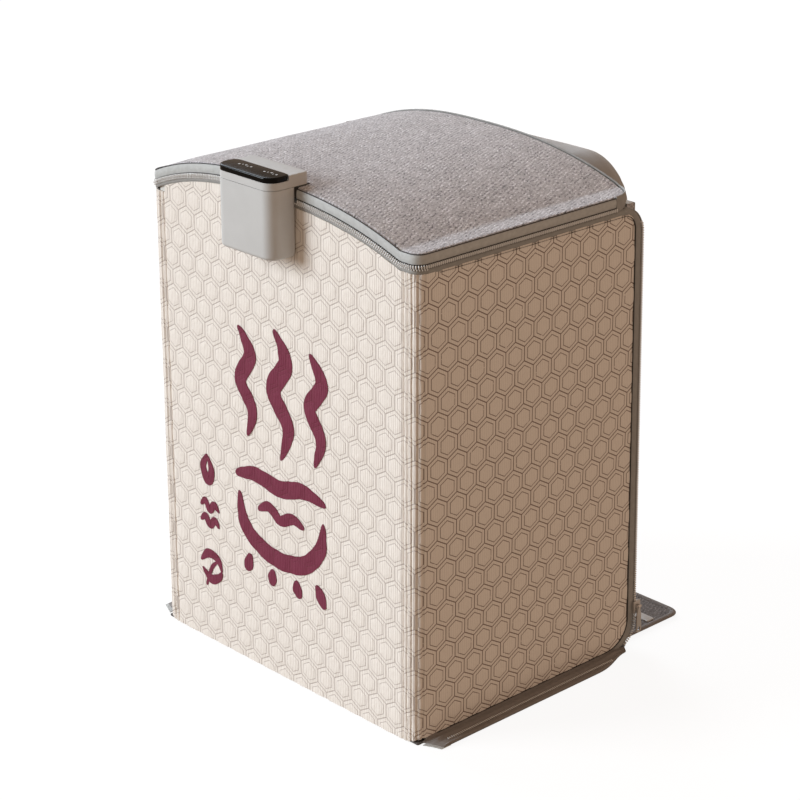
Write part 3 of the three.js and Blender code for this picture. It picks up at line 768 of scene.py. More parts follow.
@dataclass
class PrintedWrap:
    """The printed cloth round the front and the two side walls, with the piping at its edges."""

    layout: Layout
    finishes: Finishes
    seam_at: float = 177.0
    foot: float = 0.4
    top_tape: float = 5.4
    side_foot: float = 4.0
    rear_inset: float = 12.3
    low_r: float = 30.0
    high_r: float = 16.0
    thickness: float = 1.5
    proud: float = 0.5

    def front(self) -> None:
        """The front, between the outermost creases."""
        lay = self.layout

        def spot(s: Array, t: Array) -> tuple[Array, Array]:
            u = (s * 2 - 1) * self.seam_at
            return u, self.foot + t * (lay.arch(u) - self.top_tape - self.foot)

        def place(s: Array, t: Array) -> Array:
            u, z = spot(s, t)
            x, y = lay.wrap(u, lay.quilt(u, z) + self.proud)
            return stack(x, y, z)

        piece = patch("front_cloth", 150, 200, place, lambda s, t: np.stack(spot(s, t), -1), thickness=self.thickness)
        dress(piece, self.finishes.cloth, "box", instead=["front_wall_skin"])

    def edge(self, z: Array) -> Array:
        """Rear edge of a side's cloth at each height, with its rounded corners."""
        lay = self.layout
        low, high = self.side_foot + 1.8, lay.wall_top - self.top_tape
        near_low = np.clip(self.low_r - (z - low), 0.0, self.low_r)
        near_high = np.clip(self.high_r - (high - z), 0.0, self.high_r)
        cut = (self.low_r - np.sqrt(self.low_r ** 2 - near_low ** 2)) + (
            self.high_r - np.sqrt(self.high_r ** 2 - near_high ** 2))
        return lay.rear(z) - self.rear_inset - cut

    def side(self, name: str, sign: float) -> None:
        """One side with its upright bend, in one piece."""
        lay = self.layout

        def spot(s: Array, t: Array) -> tuple[Array, Array]:
            rise = np.interp(t, [0.0, 0.14, 0.92, 1.0], [0.0, 0.062, 0.965, 1.0])
            run = np.interp(s, [0.0, 0.22, 1.0], [0.0, 0.13, 1.0])
            high = lay.wall_top - self.top_tape
            corner = 1 - ease(run, 0.02, 0.10)
            low = (self.side_foot + 1.8) * (1 - corner) + self.foot * corner
            z = low + rise * (high - low)
            end = lay.bend + self.edge(np.maximum(z, self.side_foot + 1.8)) - (lay.front_y + lay.corner_r)
            return sign * (self.seam_at + run * (end - self.seam_at)), z

        def place(s: Array, t: Array) -> Array:
            u, z = spot(s, t)
            x, y = lay.wrap(u, lay.quilt(u, z) + self.proud)
            return stack(x, y, z)

        piece = patch(f"{name}_cloth", 160, 205, place, lambda s, t: np.stack(spot(s, t), -1), thickness=self.thickness)
        hinge = lay.half_width * sign
        dress(piece, self.finishes.cloth, bend=("box", f"{name}_wall", (hinge, -152, 250),
                                                                   (hinge, -134, 250)), instead=[f"{name}_wall_skin"])

    def build(self) -> None:
        """The three panels of the wrap."""
        self.front()
        self.side("right", 1.0)
        self.side("left", -1.0)


@dataclass
class WallZips:
    """Tapes, piping and teeth on the edges of the walls, and the zip that lies out on the floor."""

    layout: Layout
    finishes: Finishes
    knots: tuple[float, ...] = (0.0, 0.253, 0.294, 0.706, 0.747, 1.0)
    pitch: float = 2.6
    rear_start: float = 0.304
    rear_low: float = 41.0
    tooth: tuple[float, float, float] = (1.5, 1.7, 3.4)
    front_tooth: tuple[float, float, float] = (1.4, 1.5, 2.0)
    floor_tooth: tuple[float, float, float] = (1.4, 0.9, 2.8)
    inner: tuple[float, float, float, float, float] = (12.3, 7.3, 4.0, 30.0, 16.0)
    outer: tuple[float, float, float, float, float] = (0.0, 0.0, 0.0, 28.0, 28.0)

    def outline(self, s: Array, sizes: Sequence[float], start: float = -143.0) -> tuple[Array, Array]:
        """A side's edge, from the front of its foot round the rear to the front of its top.

        Args:
            s: How far along, 0 to 1.
            sizes: The insets at the rear, top and foot, and the radii of the low and the high corner.
            start: The Y where the edge starts and ends.

        Returns:
            The Y and Z of each point.
        """
        rear, top, foot, low_r, high_r = sizes
        lay, k = self.layout, self.knots
        low, high = 1.8 + foot, lay.wall_top - top
        part = [np.clip((s - k[i]) / (k[i + 1] - k[i]), 0.0, 1.0) for i in range(5)]
        turn_low, turn_high = (part[1] - 1) * math.pi / 2, part[3] * math.pi / 2
        foot_end = lay.rear(np.array(low)) - rear - low_r
        top_end = lay.rear(np.array(high)) - rear - high_r
        z = np.select([s < k[1], s < k[2], s < k[3], s < k[4]],
                      [low + 0 * s, low + low_r + low_r * np.sin(turn_low),
                       low + low_r + part[2] * (high - low - low_r - high_r),
                       high - high_r + high_r * np.sin(turn_high)], high + 0 * s)
        lean = lay.rear(z) - rear
        y = np.select([s < k[1], s < k[2], s < k[3], s < k[4]],
                      [start + part[0] * (foot_end - start), lean - low_r + low_r * np.cos(turn_low), lean,
                       lean - high_r + high_r * np.cos(turn_high)], top_end + part[4] * (start - top_end))
        return y, z

    def side_band(self, name: str, sign: float) -> None:
        """Tape between a side's cloth and its row of teeth."""
        def place(s: Array, t: Array) -> Array:
            (y0, z0), (y1, z1) = self.outline(s, self.outer), self.outline(s, self.inner)
            roll = np.clip(1 - t / 0.24, 0.0, 1.0)
            out = 0.9 * np.sin(math.pi * np.clip(t * 1.02, 0.0, 1.0)) ** 0.6 - 1.6 * roll ** 2
            return stack(sign * (self.layout.half_width + out), y0 + t * (y1 - y0), z0 + t * (z1 - z0))

        piece = patch(f"{name}_edge_tape", 420, 10, place, along(1060.0, 12.0), thickness=1.4)
        dress(piece, self.finishes.tape, f"{name}_wall", instead=[f"{name}_wall_zip"])

        def cord(s: Array, t: Array) -> Array:
            y, z = self.outline(s, self.inner, -127.0)
            turn = 2 * math.pi * t
            x = self.layout.half_width + 1.0 + 0.75 * np.cos(turn)
            return stack(sign * x, y + 0.75 * np.sin(turn), z + 0 * turn)

        piping = patch(f"{name}_piping", 420, 8, cord, along(1060.0, 4.0), tube=True)
        dress(piping, self.finishes.seam, f"{name}_wall")

        s = np.linspace(self.knots[1] + 0.01, self.knots[3] + 0.01, 260)
        y, z = self.outline(s, (1.3, 1.3, 1.3, 27.0, 26.7))
        line = stack(sign * (self.layout.half_width + 1.7), y, z)
        out = np.tile([sign * 1.0, 0.15, 0.0], (len(s), 1))
        row = tooth_row(f"{name}_edge_teeth", line, out, self.pitch, self.tooth)
        dress(row, self.finishes.teeth, f"{name}_wall")
        rear = tooth_row(f"{name}_rear_teeth", line + np.array([-sign * 1.9, 1.1, 0.0]), out, self.pitch,
                         self.tooth, self.pitch / 2)
        keep = self.upright(rear)
        dress(keep, self.finishes.teeth, "rear_panel")

        def strip(s: Array, t: Array) -> Array:
            y, z = self.outline(self.rear_start + s * (self.knots[4] - self.rear_start), self.outer)
            roll = 0.7 * np.clip(1 - t / 0.15, 0.0, 1.0) ** 2
            return stack(sign * (self.layout.half_width - 0.4 - 12.0 * t), y + 1.9 - roll, z)

        tape = patch(f"{name}_rear_tape", 260, 8, strip, along(480.0, 12.0), thickness=1.1)
        dress(tape, self.finishes.tape, "rear_panel", instead=[f"rear_zip_{name}"])

    def upright(self, row: bpy.types.Object) -> bpy.types.Object:
        """Cuts away the teeth below the hinge of the rear panel."""
        with editing(row):
            bpy.ops.mesh.select_all(action="SELECT")
            bpy.ops.mesh.bisect(plane_co=(0, 0, self.rear_low * MM), plane_no=(0, 0, 1), clear_inner=True,
                                use_fill=True)
        return row

    def floor_zip(self, name: str, sign: float) -> None:
        """The bottom zip of a side, lying out on the floor as a low ridge."""
        lay = self.layout
        across = np.array([-0.4, 1.0, 3.5, 7.0, 10.0, 12.0, 14.0, 16.5, 19.0, 21.0, 22.0])
        height = np.array([6.4, 5.4, 3.9, 4.6, 5.3, 4.1, 3.3, 3.4, 3.1, 3.6, 2.0])
        rear_end = float(lay.rear(np.array(1.8))) - 28.0

        def narrow(s: Array) -> Array:
            return 1.0 - 0.62 * ease(s, 0.78, 1.0) ** 1.5

        def place(s: Array, t: Array) -> Array:
            reach = np.interp(t, np.linspace(0, 1, len(across)), across)
            up = np.interp(t, np.linspace(0, 1, len(across)), height)
            front = -147.0 + 0.4 * reach
            rear = rear_end + 13.0 - 0.3 * reach
            end = ease(s, 0.0, 0.03) * (1 - ease(s, 0.93, 1.0))
            up = 1.7 + (up - 1.7 + 0.35 * np.sin(s * 23.0) * np.sin(math.pi * t)) * end
            return stack(sign * (lay.half_width + reach * narrow(s)), front + s * (rear - front), up)

        piece = patch(f"{name}_floor_tape", 110, 40, place, along(285.0, 24.0), thickness=1.1, away=FAR_BELOW)
        dress(piece, self.finishes.foot_tape, f"{name}_wall")
        y = np.linspace(-127.0, rear_end - 22.0, 100)
        line = stack(sign * (lay.half_width + 15.4), y, 4.1)

        def end_tail(s: Array, t: Array) -> Array:
            reach = 4.0 + 18.5 * t
            return stack(sign * (lay.half_width + reach), -152.0 + 0.45 * reach + 13.0 * s,
                         1.2 + 0.35 * np.sin(math.pi * t) * (1.0 - s))

        tail = patch(f"{name}_tape_tail", 14, 20, end_tail, along(13.0, 20.0), thickness=0.7, away=FAR_BELOW)
        dress(tail, self.finishes.rim_tape, "box")

        def under(s: Array, t: Array) -> Array:
            front, rear = -139.0 + 10.0 * t, rear_end + 12.0 - 6.0 * t
            return stack(sign * (lay.half_width + 0.4 + 21.0 * t * narrow(s)), front + s * (rear - front), 1.25)

        base = patch(f"{name}_base_tape", 100, 12, under, along(285.0, 22.0), thickness=1.0, away=FAR_BELOW)
        dress(base, self.finishes.foot_tape, "box", instead=[f"base_zip_{name}"])
        row = tooth_row(f"{name}_floor_teeth", line, np.tile([0.0, 0.0, 1.0], (len(y), 1)), self.pitch,
                        self.floor_tooth)
        dress(row, self.finishes.teeth, f"{name}_wall")

    def front_band(self) -> None:
        """Tape and teeth along the top of the front, round both upright bends."""
        lay = self.layout

        def place(s: Array, t: Array) -> Array:
            u = (s * 2 - 1) * lay.bend
            x, y = lay.wrap(u, 0.1 + 0.8 * np.sin(math.pi * t) ** 0.6)
            return stack(x, y, lay.arch(x) - 5.2 + t * 5.0)

        piece = patch("front_top_tape", 220, 8, place, along(414.0, 7.0), thickness=1.4)
        dress(piece, self.finishes.tape, "box", instead=["front_wall_zip"])
        u = np.linspace(-lay.bend, lay.bend, 300)
        x, y = lay.wrap(u, 1.8)
        out_x, out_y = lay.wrap(u, 2.8)
        line = stack(x, y, lay.arch(x) - 0.6)
        row = tooth_row("front_top_teeth", line, stack(out_x - x, out_y - y, 0.0), self.pitch,
                        self.front_tooth)
        dress(row, self.finishes.teeth, "box")

    def build(self) -> None:
        """Every zip of the walls."""
        self.front_band()
        for name, sign in (("right", 1.0), ("left", -1.0)):
            self.side_band(name, sign)
            self.floor_zip(name, sign)


@dataclass
class DomedCover:
    """The padded linen dome, its upright rim of tape, its teeth and its rear binding."""

    layout: Layout
    finishes: Finishes
    low: float = 0.6
    rim: float = 13.0
    top: float = 15.6
    notch: tuple[float, float] = (-55.5, 31.5)
    notch_rear: float = -136.5
    side_end: float = 117.0
    pitch: float = 2.6
    tooth: tuple[float, float, float] = (1.6, 1.9, 3.6)
    hinge_start: tuple[float, float, float] = (0.0, 151.0, 545.0)
    hinge_end: tuple[float, float, float] = (0.0, 128.0, 545.0)

    def limits(self, x: Array) -> tuple[Array, Array]:
        """Front and rear edge of the dome at each place across it."""
        lay = self.layout
        size = np.abs(x)
        front_in = np.clip(size - (lay.half_width - lay.corner_r), 0.0, lay.corner_r)
        rear_in = np.clip(size - (lay.half_width - lay.cover_rear_r), 0.0, lay.cover_rear_r)
        front = lay.front_y + lay.corner_r - np.sqrt(lay.corner_r ** 2 - front_in ** 2)
        rear = lay.cover_rear_y - lay.cover_rear_r + np.sqrt(lay.cover_rear_r ** 2 - rear_in ** 2)
        return front, rear

    def dome(self) -> None:
        """The linen."""
        lay = self.layout

        def place(s: Array, t: Array) -> Array:
            x = lay.half_width * np.sin((s * 2 - 1) * math.pi / 2) * 0.25 + (s * 2 - 1) * lay.half_width * 0.75
            front, rear = self.limits(x)
            y = front + t * (rear - front)
            edge = np.minimum(np.minimum(y - front, rear - y), lay.half_width - np.abs(x))
            roll = 3.4 * (1 - np.sqrt(1 - np.clip(1 - edge / 4.0, 0.0, 1.0) ** 2))
            puff = 0.9 * ease(edge, 4.0, 40.0) + 0.5 * np.sin(x / 37.0 + 1.1 * np.sin(y / 41.0)) * ease(edge, 2.0, 30.0)
            return stack(x, y, lay.arch(x) + self.top - 0.6 + puff - roll)

        def cloth(s: Array, t: Array) -> Array:
            return place(s, t)[:, :2]

        def in_notch(c: Array) -> Array:
            return (c[:, 0] > self.notch[0]) & (c[:, 0] < self.notch[1]) & (c[:, 1] < self.notch_rear)

        piece = patch("cover_linen", 150, 116, place, cloth, thickness=1.5, away=FAR_BELOW, drop=in_notch)
        dress(piece, self.finishes.linen, bend=("rear_panel", "cover", self.hinge_start, self.hinge_end),
              instead=["cover_skin"])

    def rim_half(self, name: str, start: float, end: float, node: str) -> None:
        """Half of the rim, from the pod round to the rear of one side."""
        lay = self.layout

        def place(s: Array, t: Array) -> Array:
            u = start + s * (end - start)
            out = 0.3 + 1.2 * np.sin(math.pi * np.clip(t, 0.0, 1.0)) ** 0.55
            x, y = lay.wrap(u, out)
            return stack(x, y, lay.arch(x) + self.low + 2.9 + t * (self.rim - 2.6))

        length = abs(end - start)
        piece = patch(f"cover_rim_{name}", int(length / 2), 12, place, along(length, 13.0), thickness=1.3)
        dress(piece, self.finishes.rim_tape, "cover", instead=[node])

        def cord(s: Array, t: Array) -> Array:
            x, y = lay.wrap(start + s * (end - start), 0.5 + 0.55 * np.cos(2 * math.pi * t))
            return stack(x, y, lay.arch(x) + self.low + self.rim + 0.5 + 0.55 * np.sin(2 * math.pi * t))

        seam = patch(f"cover_seam_{name}", int(length / 3), 8, cord, along(length, 3.0), tube=True)
        dress(seam, self.finishes.seam, "cover")

        # Painted shade: a dark strip in the gap behind the teeth, between the rim and the wall, so that the bright
        # teeth stand out against it.
        def shade(s: Array, t: Array) -> Array:
            u = start + s * (end - start)
            return stack(*lay.wrap(u, 1.1), lay.arch(lay.wrap(u)[0]) + 0.7 + t * 3.7)

        groove = patch(f"cover_painted_shade_{name}", int(length / 3), 3, shade, along(length, 5.0), thickness=0.6)
        dress(groove, self.finishes.seam, "cover")
        u = np.linspace(start, end, 320)
        (x, y), (ox, oy) = lay.wrap(u, 2.2), lay.wrap(u, 3.2)
        row = tooth_row(f"cover_teeth_{name}", stack(x, y, lay.arch(x) + 2.1), stack(ox - x, oy - y, 0.0), self.pitch,
                        self.tooth, self.pitch / 2)
        dress(row, self.finishes.teeth, "cover")

    def binding(self) -> None:
        """Grey binding round the rear edge and its two corners."""
        lay = self.layout
        bend = lay.cover_rear_r * math.pi / 2
        straight = 2 * (lay.half_width - lay.cover_rear_r)
        total = straight + 2 * bend

        def place(s: Array, t: Array) -> Array:
            run = s * total
            first = np.clip(run / bend, 0.0, 1.0) * math.pi / 2
            last = np.clip((run - bend - straight) / bend, 0.0, 1.0) * math.pi / 2
            middle = np.clip(run - bend, 0.0, straight)
            out = lay.cover_rear_r + 0.4 + 1.6 * np.sin(math.pi * t) ** 0.6
            turn = first + last
            x = (lay.half_width - lay.cover_rear_r) - middle + out * np.cos(turn)
            y = lay.cover_rear_y - lay.cover_rear_r + out * np.sin(turn)
            z = lay.arch(np.clip(x, -199.0, 199.0)) - 0.4 + t * (self.top + 1.0)
            return stack(x, y, z)

        piece = patch("cover_binding", 240, 10, place, along(total, 14.0), thickness=1.3)
        dress(piece, self.finishes.tape, bend=("rear_panel", "cover", self.hinge_start, self.hinge_end),
              instead=["cover_rear_binding"])

    def build(self) -> None:
        """The whole cover."""
        lay = self.layout
        reach = lay.bend + self.side_end - (lay.front_y + lay.corner_r)
        self.dome()
        self.rim_half("right", self.notch[1], reach, "cover_zip_right")
        self.rim_half("left", self.notch[0], -reach, "cover_zip_left")
        self.binding()


@dataclass
class RearPanel:
    """The linen rear with its padded foot, and the satin leg sleeve."""

    layout: Layout
    finishes: Finishes
    half: float = 187.5
    foot_r: float = 28.0
    foot: float = 1.8
    sleeve_top: float = 527.0
    sleeve_height: float = 140.0
    sleeve_half: float = 146.0
    wall: float = 20.0
    hole_r: float = 36.0
    gathers: int = 74
    profile: tuple[tuple[float, float], ...] = (
        (-1.0, 1.0), (8.0, 0.6), (19.0, 0.8), (22.0, 6.0), (23.0, 16.0), (22.5, 28.0), (19.0, 39.0), (12.0, 46.5),
        (4.0, 50.5), (-4.0, 53.0), (-10.0, 56.5), (-12.0, 54.0), (-9.0, 50.0), (-4.0, 44.0), (-1.5, 32.0), (-1.0, 16.0))

    @property
    def lean(self) -> float:
        """Angle that the rear leans by."""
        return math.atan2(self.layout.rear_lean, self.layout.wall_top)

    def tilt(self, points: Array) -> Array:
        """Leans upright points about the top rear edge."""
        lay, c, s = self.layout, math.cos(self.lean), math.sin(self.lean)
        y, z = points[:, 1] - lay.rear_top_y, points[:, 2] - lay.wall_top
        return stack(points[:, 0], lay.rear_top_y + y * c - z * s, lay.wall_top + y * s + z * c)

    def linen(self) -> None:
        """Linen from the floor round the padded foot and up the rear."""
        lay = self.layout
        foot_y = lay.rear_top_y + lay.rear_lean
        arc = self.foot_r * math.pi / 2
        rise_end = foot_y - self.foot_r

        def spot(s: Array, t: Array) -> tuple[Array, Array]:
            x = (s * 2 - 1) * self.half
            total = arc + lay.arch(x) - 1.0 - self.foot - self.foot_r
            return x, t * total

        def place(s: Array, t: Array) -> Array:
            x, run = spot(s, t)
            turn = np.clip(run / arc, 0.0, 1.0) * math.pi / 2
            up = np.maximum(run - arc, 0.0)
            z = self.foot + self.foot_r * (1 - np.cos(turn)) + up
            puff = 1.8 * np.sin(math.pi * np.clip(up / 450.0, 0, 1)) * np.cos(math.pi / 2 * x / self.half)
            flat = np.where(run < arc, rise_end + self.foot_r * np.sin(turn), lay.rear(z) + 0.4)
            wave = 0.5 * np.sin(x / 29.0 + z / 61.0) * np.clip(up / 40.0, 0, 1)
            return stack(x, flat + puff + wave, z)

        def opened(c: Array) -> Array:
            top, low = self.sleeve_top - 9.0, self.sleeve_top - self.sleeve_height + 9.0
            reach = self.sleeve_half - 9.0
            dx = np.maximum(np.abs(c[:, 0]) - (reach - 46.0), 0.0)
            dz = np.maximum(np.abs(c[:, 2] - (top + low) / 2) - ((top - low) / 2 - 46.0), 0.0)
            return dx * dx + dz * dz < 46.0 ** 2

        piece = patch("rear_linen", 110, 160, place, lambda s, t: np.stack(spot(s, t), -1), thickness=1.5,
                      away=FAR_AHEAD, drop=opened)
        dress(piece, self.finishes.linen, bend=("box", "rear_panel", (0, 171, 29), (0, 171, 49)),
              instead=["rear_panel_skin", "base_rear_bend"])

    def ring(self, s: Array, grow: Array) -> tuple[Array, Array]:
        """A point on the rounded opening, drawn out by a distance.

        Args:
            s: How far round, 0 to 1.
            grow: How far outside the opening's edge.

        Returns:
            The X and Z of each point.
        """
        half = self.sleeve_half - self.wall
        top, low = self.sleeve_top - self.wall, self.sleeve_top - self.sleeve_height + self.wall
        flat_x, flat_z = 2 * (half - self.hole_r), (top - low) - 2 * self.hole_r
        arc = self.hole_r * math.pi / 2
        run = (s % 1.0) * (2 * (flat_x + flat_z) + 4 * arc)
        x, z = np.zeros_like(run), np.zeros_like(run)
        sx, sz, turn = flat_x / 2, -flat_z / 2, 0.0
        for length, (dx, dz) in ((flat_z, (0, 1)), (flat_x, (-1, 0)), (flat_z, (0, -1)), (flat_x, (1, 0))):
            on = (run >= 0) & (run < length)
            step = np.where(on, run, 0.0)
            x = np.where(on, sx + dx * step + (self.hole_r + grow) * math.cos(turn), x)
            z = np.where(on, sz + dz * step + (self.hole_r + grow) * math.sin(turn), z)
            run = run - length
            sx, sz = sx + dx * length, sz + dz * length
            on = (run >= 0) & (run < arc)
            angle = turn + np.where(on, run, 0.0) / self.hole_r
            x = np.where(on, sx + (self.hole_r + grow) * np.cos(angle), x)
            z = np.where(on, sz + (self.hole_r + grow) * np.sin(angle), z)
            run, turn = run - arc, turn + math.pi / 2
        return x, z + (top + low) / 2

    def sleeve(self) -> None:
        """The puffed satin sleeve and the gathers of its elastic mouth."""
        shape = np.array(self.profile + self.profile[:1])
        marks = np.linspace(0.0, 1.0, len(shape))
        random = np.random.default_rng(7)
        phases, heights = random.uniform(0, 2 * math.pi, 6), random.uniform(0.5, 1.0, 6)

        def place(s: Array, t: Array) -> Array:
            grow, deep = np.interp(t, marks, shape[:, 0]), np.interp(t, marks, shape[:, 1])
            turn = 2 * math.pi * s
            mouth = np.exp(-(((t - 0.62) / 0.13) ** 2))
            drift = sum(h * np.sin((k + 2) * turn + p) for k, (p, h) in enumerate(zip(phases, heights))) / 6
            fold = np.sin(self.gathers * turn + 3.0 * drift * 2) * (0.7 + 0.5 * drift)
            grow = grow + mouth * (0.9 * fold) + 1.1 * drift * np.exp(-(((t - 0.3) / 0.16) ** 2))
            deep = deep + mouth * (1.3 * fold) * (deep > 20)
            x, z = self.ring(s, grow)
            return self.tilt(stack(x, self.layout.rear_top_y + 0.6 + deep, z))

        piece = patch("leg_sleeve_satin", 620, 48, place, along(700.0, 170.0), tube=True)
        dress(piece, self.finishes.satin, "rear_panel", instead=["leg_sleeve", "sleeve_elastic_mouth"])

    def edge(self, name: str, sign: float) -> None:
        """Linen over the panel's own edge, beside the rounded corner of the wall."""
        lay = self.layout

        def place(s: Array, t: Array) -> Array:
            z = 464.0 + t * (lay.arch(np.array(self.half)) - 1.2 - 464.0)
            return stack(sign * (self.half + 0.9), 147.5 + s * (lay.rear(z) + 1.0 - 147.5), z)

        piece = patch(f"rear_edge_{name}", 8, 20, place, along(12.0, 36.0), thickness=0.5)
        dress(piece, self.finishes.linen, "rear_panel")

    def build(self) -> None:
        """Linen, sleeve and the covered edges."""
        self.linen()
        self.sleeve()
        self.edge("right", 1.0)
        self.edge("left", -1.0)


@dataclass
class FloorFlap:
    """The linen mat that lies behind the box, its bound edge and its hook tabs."""

    layout: Layout
    finishes: Finishes
    near: float = 171.6
    length: float = 92.0
    half: float = 190.0
    corner: float = 16.0
    binding: float = 8.0
    thickness: float = 3.6

    def edge(self, s: Array, inset: float | Array) -> tuple[Array, Array]:
        """The flap's outline from its left root round to its right root, drawn in by a distance."""
        r = self.corner
        x_flat, y_flat = self.half - r, self.near + self.length - r
        up, arc, wide = y_flat - self.near, r * math.pi / 2, 2 * x_flat
        run = s * (2 * up + 2 * arc + wide)
        a = np.clip((run - up) / arc, 0, 1) * math.pi / 2
        b = np.clip((run - up - arc - wide) / arc, 0, 1) * math.pi / 2
        turn = a + b
        y = self.near + np.clip(run, 0, up) - np.clip(run - up - 2 * arc - wide, 0, up)
        x = -x_flat + np.clip(run - up - arc, 0, wide)
        return x - (r - inset) * np.cos(turn), y + (r - inset) * np.sin(turn)

    def build(self) -> None:
        """Mat, binding and tabs."""
        root = ("box", "floor_flap", (0, self.near - 1, 5), (0, self.near + 9, 5))

        def mat(s: Array, t: Array) -> Array:
            x = (s * 2 - 1) * (self.half - 5)
            y = self.near + t * (self.length - 5)
            wave = 0.5 * np.sin(x / 33.0 + 0.7) * np.sin(y / 19.0)
            return stack(x, y, self.thickness + wave * t)

        flap = patch("flap_linen", 120, 30, mat, lambda s, t: mat(s, t)[:, :2], thickness=2.4, away=FAR_BELOW,
                     drop=self.outside)
        dress(flap, self.finishes.floor_linen, bend=root, instead=["floor_flap"])

        def band(s: Array, t: Array) -> Array:
            x, y = self.edge(s, self.binding * t)
            up = 1.2 + 3.6 * np.sin(math.pi * np.clip(0.08 + 0.84 * t, 0, 1)) ** 0.6
            return stack(x, y, up)

        tape = patch("flap_binding", 260, 10, band, along(560.0, 8.0), thickness=1.1, away=FAR_BELOW)
        dress(tape, self.finishes.foot_tape, bend=root, instead=["floor_flap_binding"])
        for name, sign in (("right", 1.0), ("left", -1.0)):
            low = (min(sign * 156, sign * 182), 214.0, 3.9)
            high = (max(sign * 156, sign * 182), 226.0, 5.3)
            tab = rounded_block(f"flap_tab_{name}", low, high, [(lambda a, b: abs(a.z - b.z) > 1, 2.0, 4),
                                                              (lambda a, b: a.z > 5 and b.z > 5, 0.4, 2)])
            dress(tab, self.finishes.plastic, "floor_flap")

    def outside(self, c: Array) -> Array:
        """Faces beyond the rounded corners of the mat."""
        r = self.corner - 3
        dx = np.abs(c[:, 0]) - (self.half - 5 - r)
        dy = c[:, 1] - (self.near + self.length - 5 - r)
        return (dx > 0) & (dy > 0) & (dx * dx + dy * dy > r * r)


@dataclass
class ControlPod:
    """The clip-on pod: shell, bridging cap with its hook, and touch glass with plain marks."""

    finishes: Finishes
    left: float = -54.0
    right: float = 30.0
    front: float = -188.5
    shell_rear: float = -156.5
    hook_rear: float = -138.0
    low: float = 474.0
    seam: float = 545.0
    top: float = 557.0
    corner: float = 13.5

    def upright(self, front: bool) -> Callable[[Vector, Vector], bool]:
        """Picks the upright edges at the front or at the rear."""
        middle = (self.front + self.shell_rear) / 2
        return lambda a, b: abs(a.z - b.z) > 5 and (a.y < middle) == front

    def shell(self) -> None:
        """The hollow lower shell with its inlet hole."""
        def low_edge(a: Vector, b: Vector) -> bool:
            return a.z < self.low + 0.1 and b.z < self.low + 0.1

        piece = rounded_block("pod_lower_shell", (self.left, self.front, self.low),
                              (self.right, self.shell_rear, self.seam - 0.45),
                              [(self.upright(True), self.corner, 12), (self.upright(False), 3.0, 4),
                               (low_edge, 4.0, 6)])
        cut_faces(piece, lambda c: c[:, 2] > self.seam - 0.46)
        modify(piece, "SOLIDIFY", thickness=1.8 * MM, offset=-1.0)
        begin()
        bpy.ops.mesh.primitive_cylinder_add(vertices=32, radius=4.5 * MM, depth=12 * MM,
                                            location=(-12 * MM, -172.5 * MM, self.low * MM))
        drill = bpy.context.object
        modify(piece, "BOOLEAN", object=drill, operation="DIFFERENCE", solver="EXACT")
        bpy.data.objects.remove(drill)
        smooth(piece)
        dress(piece, self.finishes.plastic, "pod", instead=["pod_shell"])

    def cap(self) -> None:
        """The cap over the wall, with the glass let into it and the hook below it."""
        def top_edge(a: Vector, b: Vector) -> bool:
            return a.z > self.top - 0.1 and b.z > self.top - 0.1

        piece = rounded_block("pod_bridge_cap", (self.left, self.front, self.seam),
                              (self.right, self.hook_rear, self.top),
                              [(self.upright(True), self.corner, 12), (self.upright(False), 6.0, 6),
                               (top_edge, 2.2, 5)])
        hook = rounded_block("hook", (-44, -142, 501), (20, -138.2, 547),
                             [(lambda a, b: a.z < 502 and b.z < 502, 1.2, 3)])
        activate(piece)
        hook.select_set(True)
        bpy.ops.object.join()
        well = rounded_block("well", (-57, -192, 552.4), (33, -160.6, 562),
                             [(lambda a, b: abs(a.z - b.z) > 3 and a.y > -170, 12.0, 12)])
        modify(piece, "BOOLEAN", object=well, operation="DIFFERENCE", solver="EXACT")
        bpy.data.objects.remove(well)
        smooth(piece)
        dress(piece, self.finishes.plastic, "pod", instead=["pod_cap"])

    def glass(self) -> None:
        """The glossy touch glass and the plain marks on it."""
        piece = rounded_block("pod_touch_glass", (-53.8, -188.3, 552.6), (29.8, -161.0, 557.9),
                              [(lambda a, b: abs(a.z - b.z) > 1 and a.y < -170, 13.2, 12),
                               (lambda a, b: abs(a.z - b.z) > 1 and a.y > -170, 9.5, 10),
                               (lambda a, b: min(a.z, b.z) > 557.8, 1.5, 5)])
        dress(piece, self.finishes.glass, "pod", instead=["pod_glass"])
        for group, centre in enumerate((-34.0, 4.0)):
            for index in range(5):
                x = centre + index * 4.2
                half = 0.5 if index % 2 else 1.0
                mark = rounded_block(f"pod_mark_{group}_{index}", (x - half, -174.0 + (index % 3), 557.9),
                                     (x + half, -171.8 + (index % 3), 558.08),
                                     [(lambda a, b: abs(a.z - b.z) > 0.05, 0.35, 3)])
                dress(mark, self.finishes.icon, "pod")

    def build(self) -> None:
        """The whole pod."""
        self.shell()
        self.cap()
        self.glass()


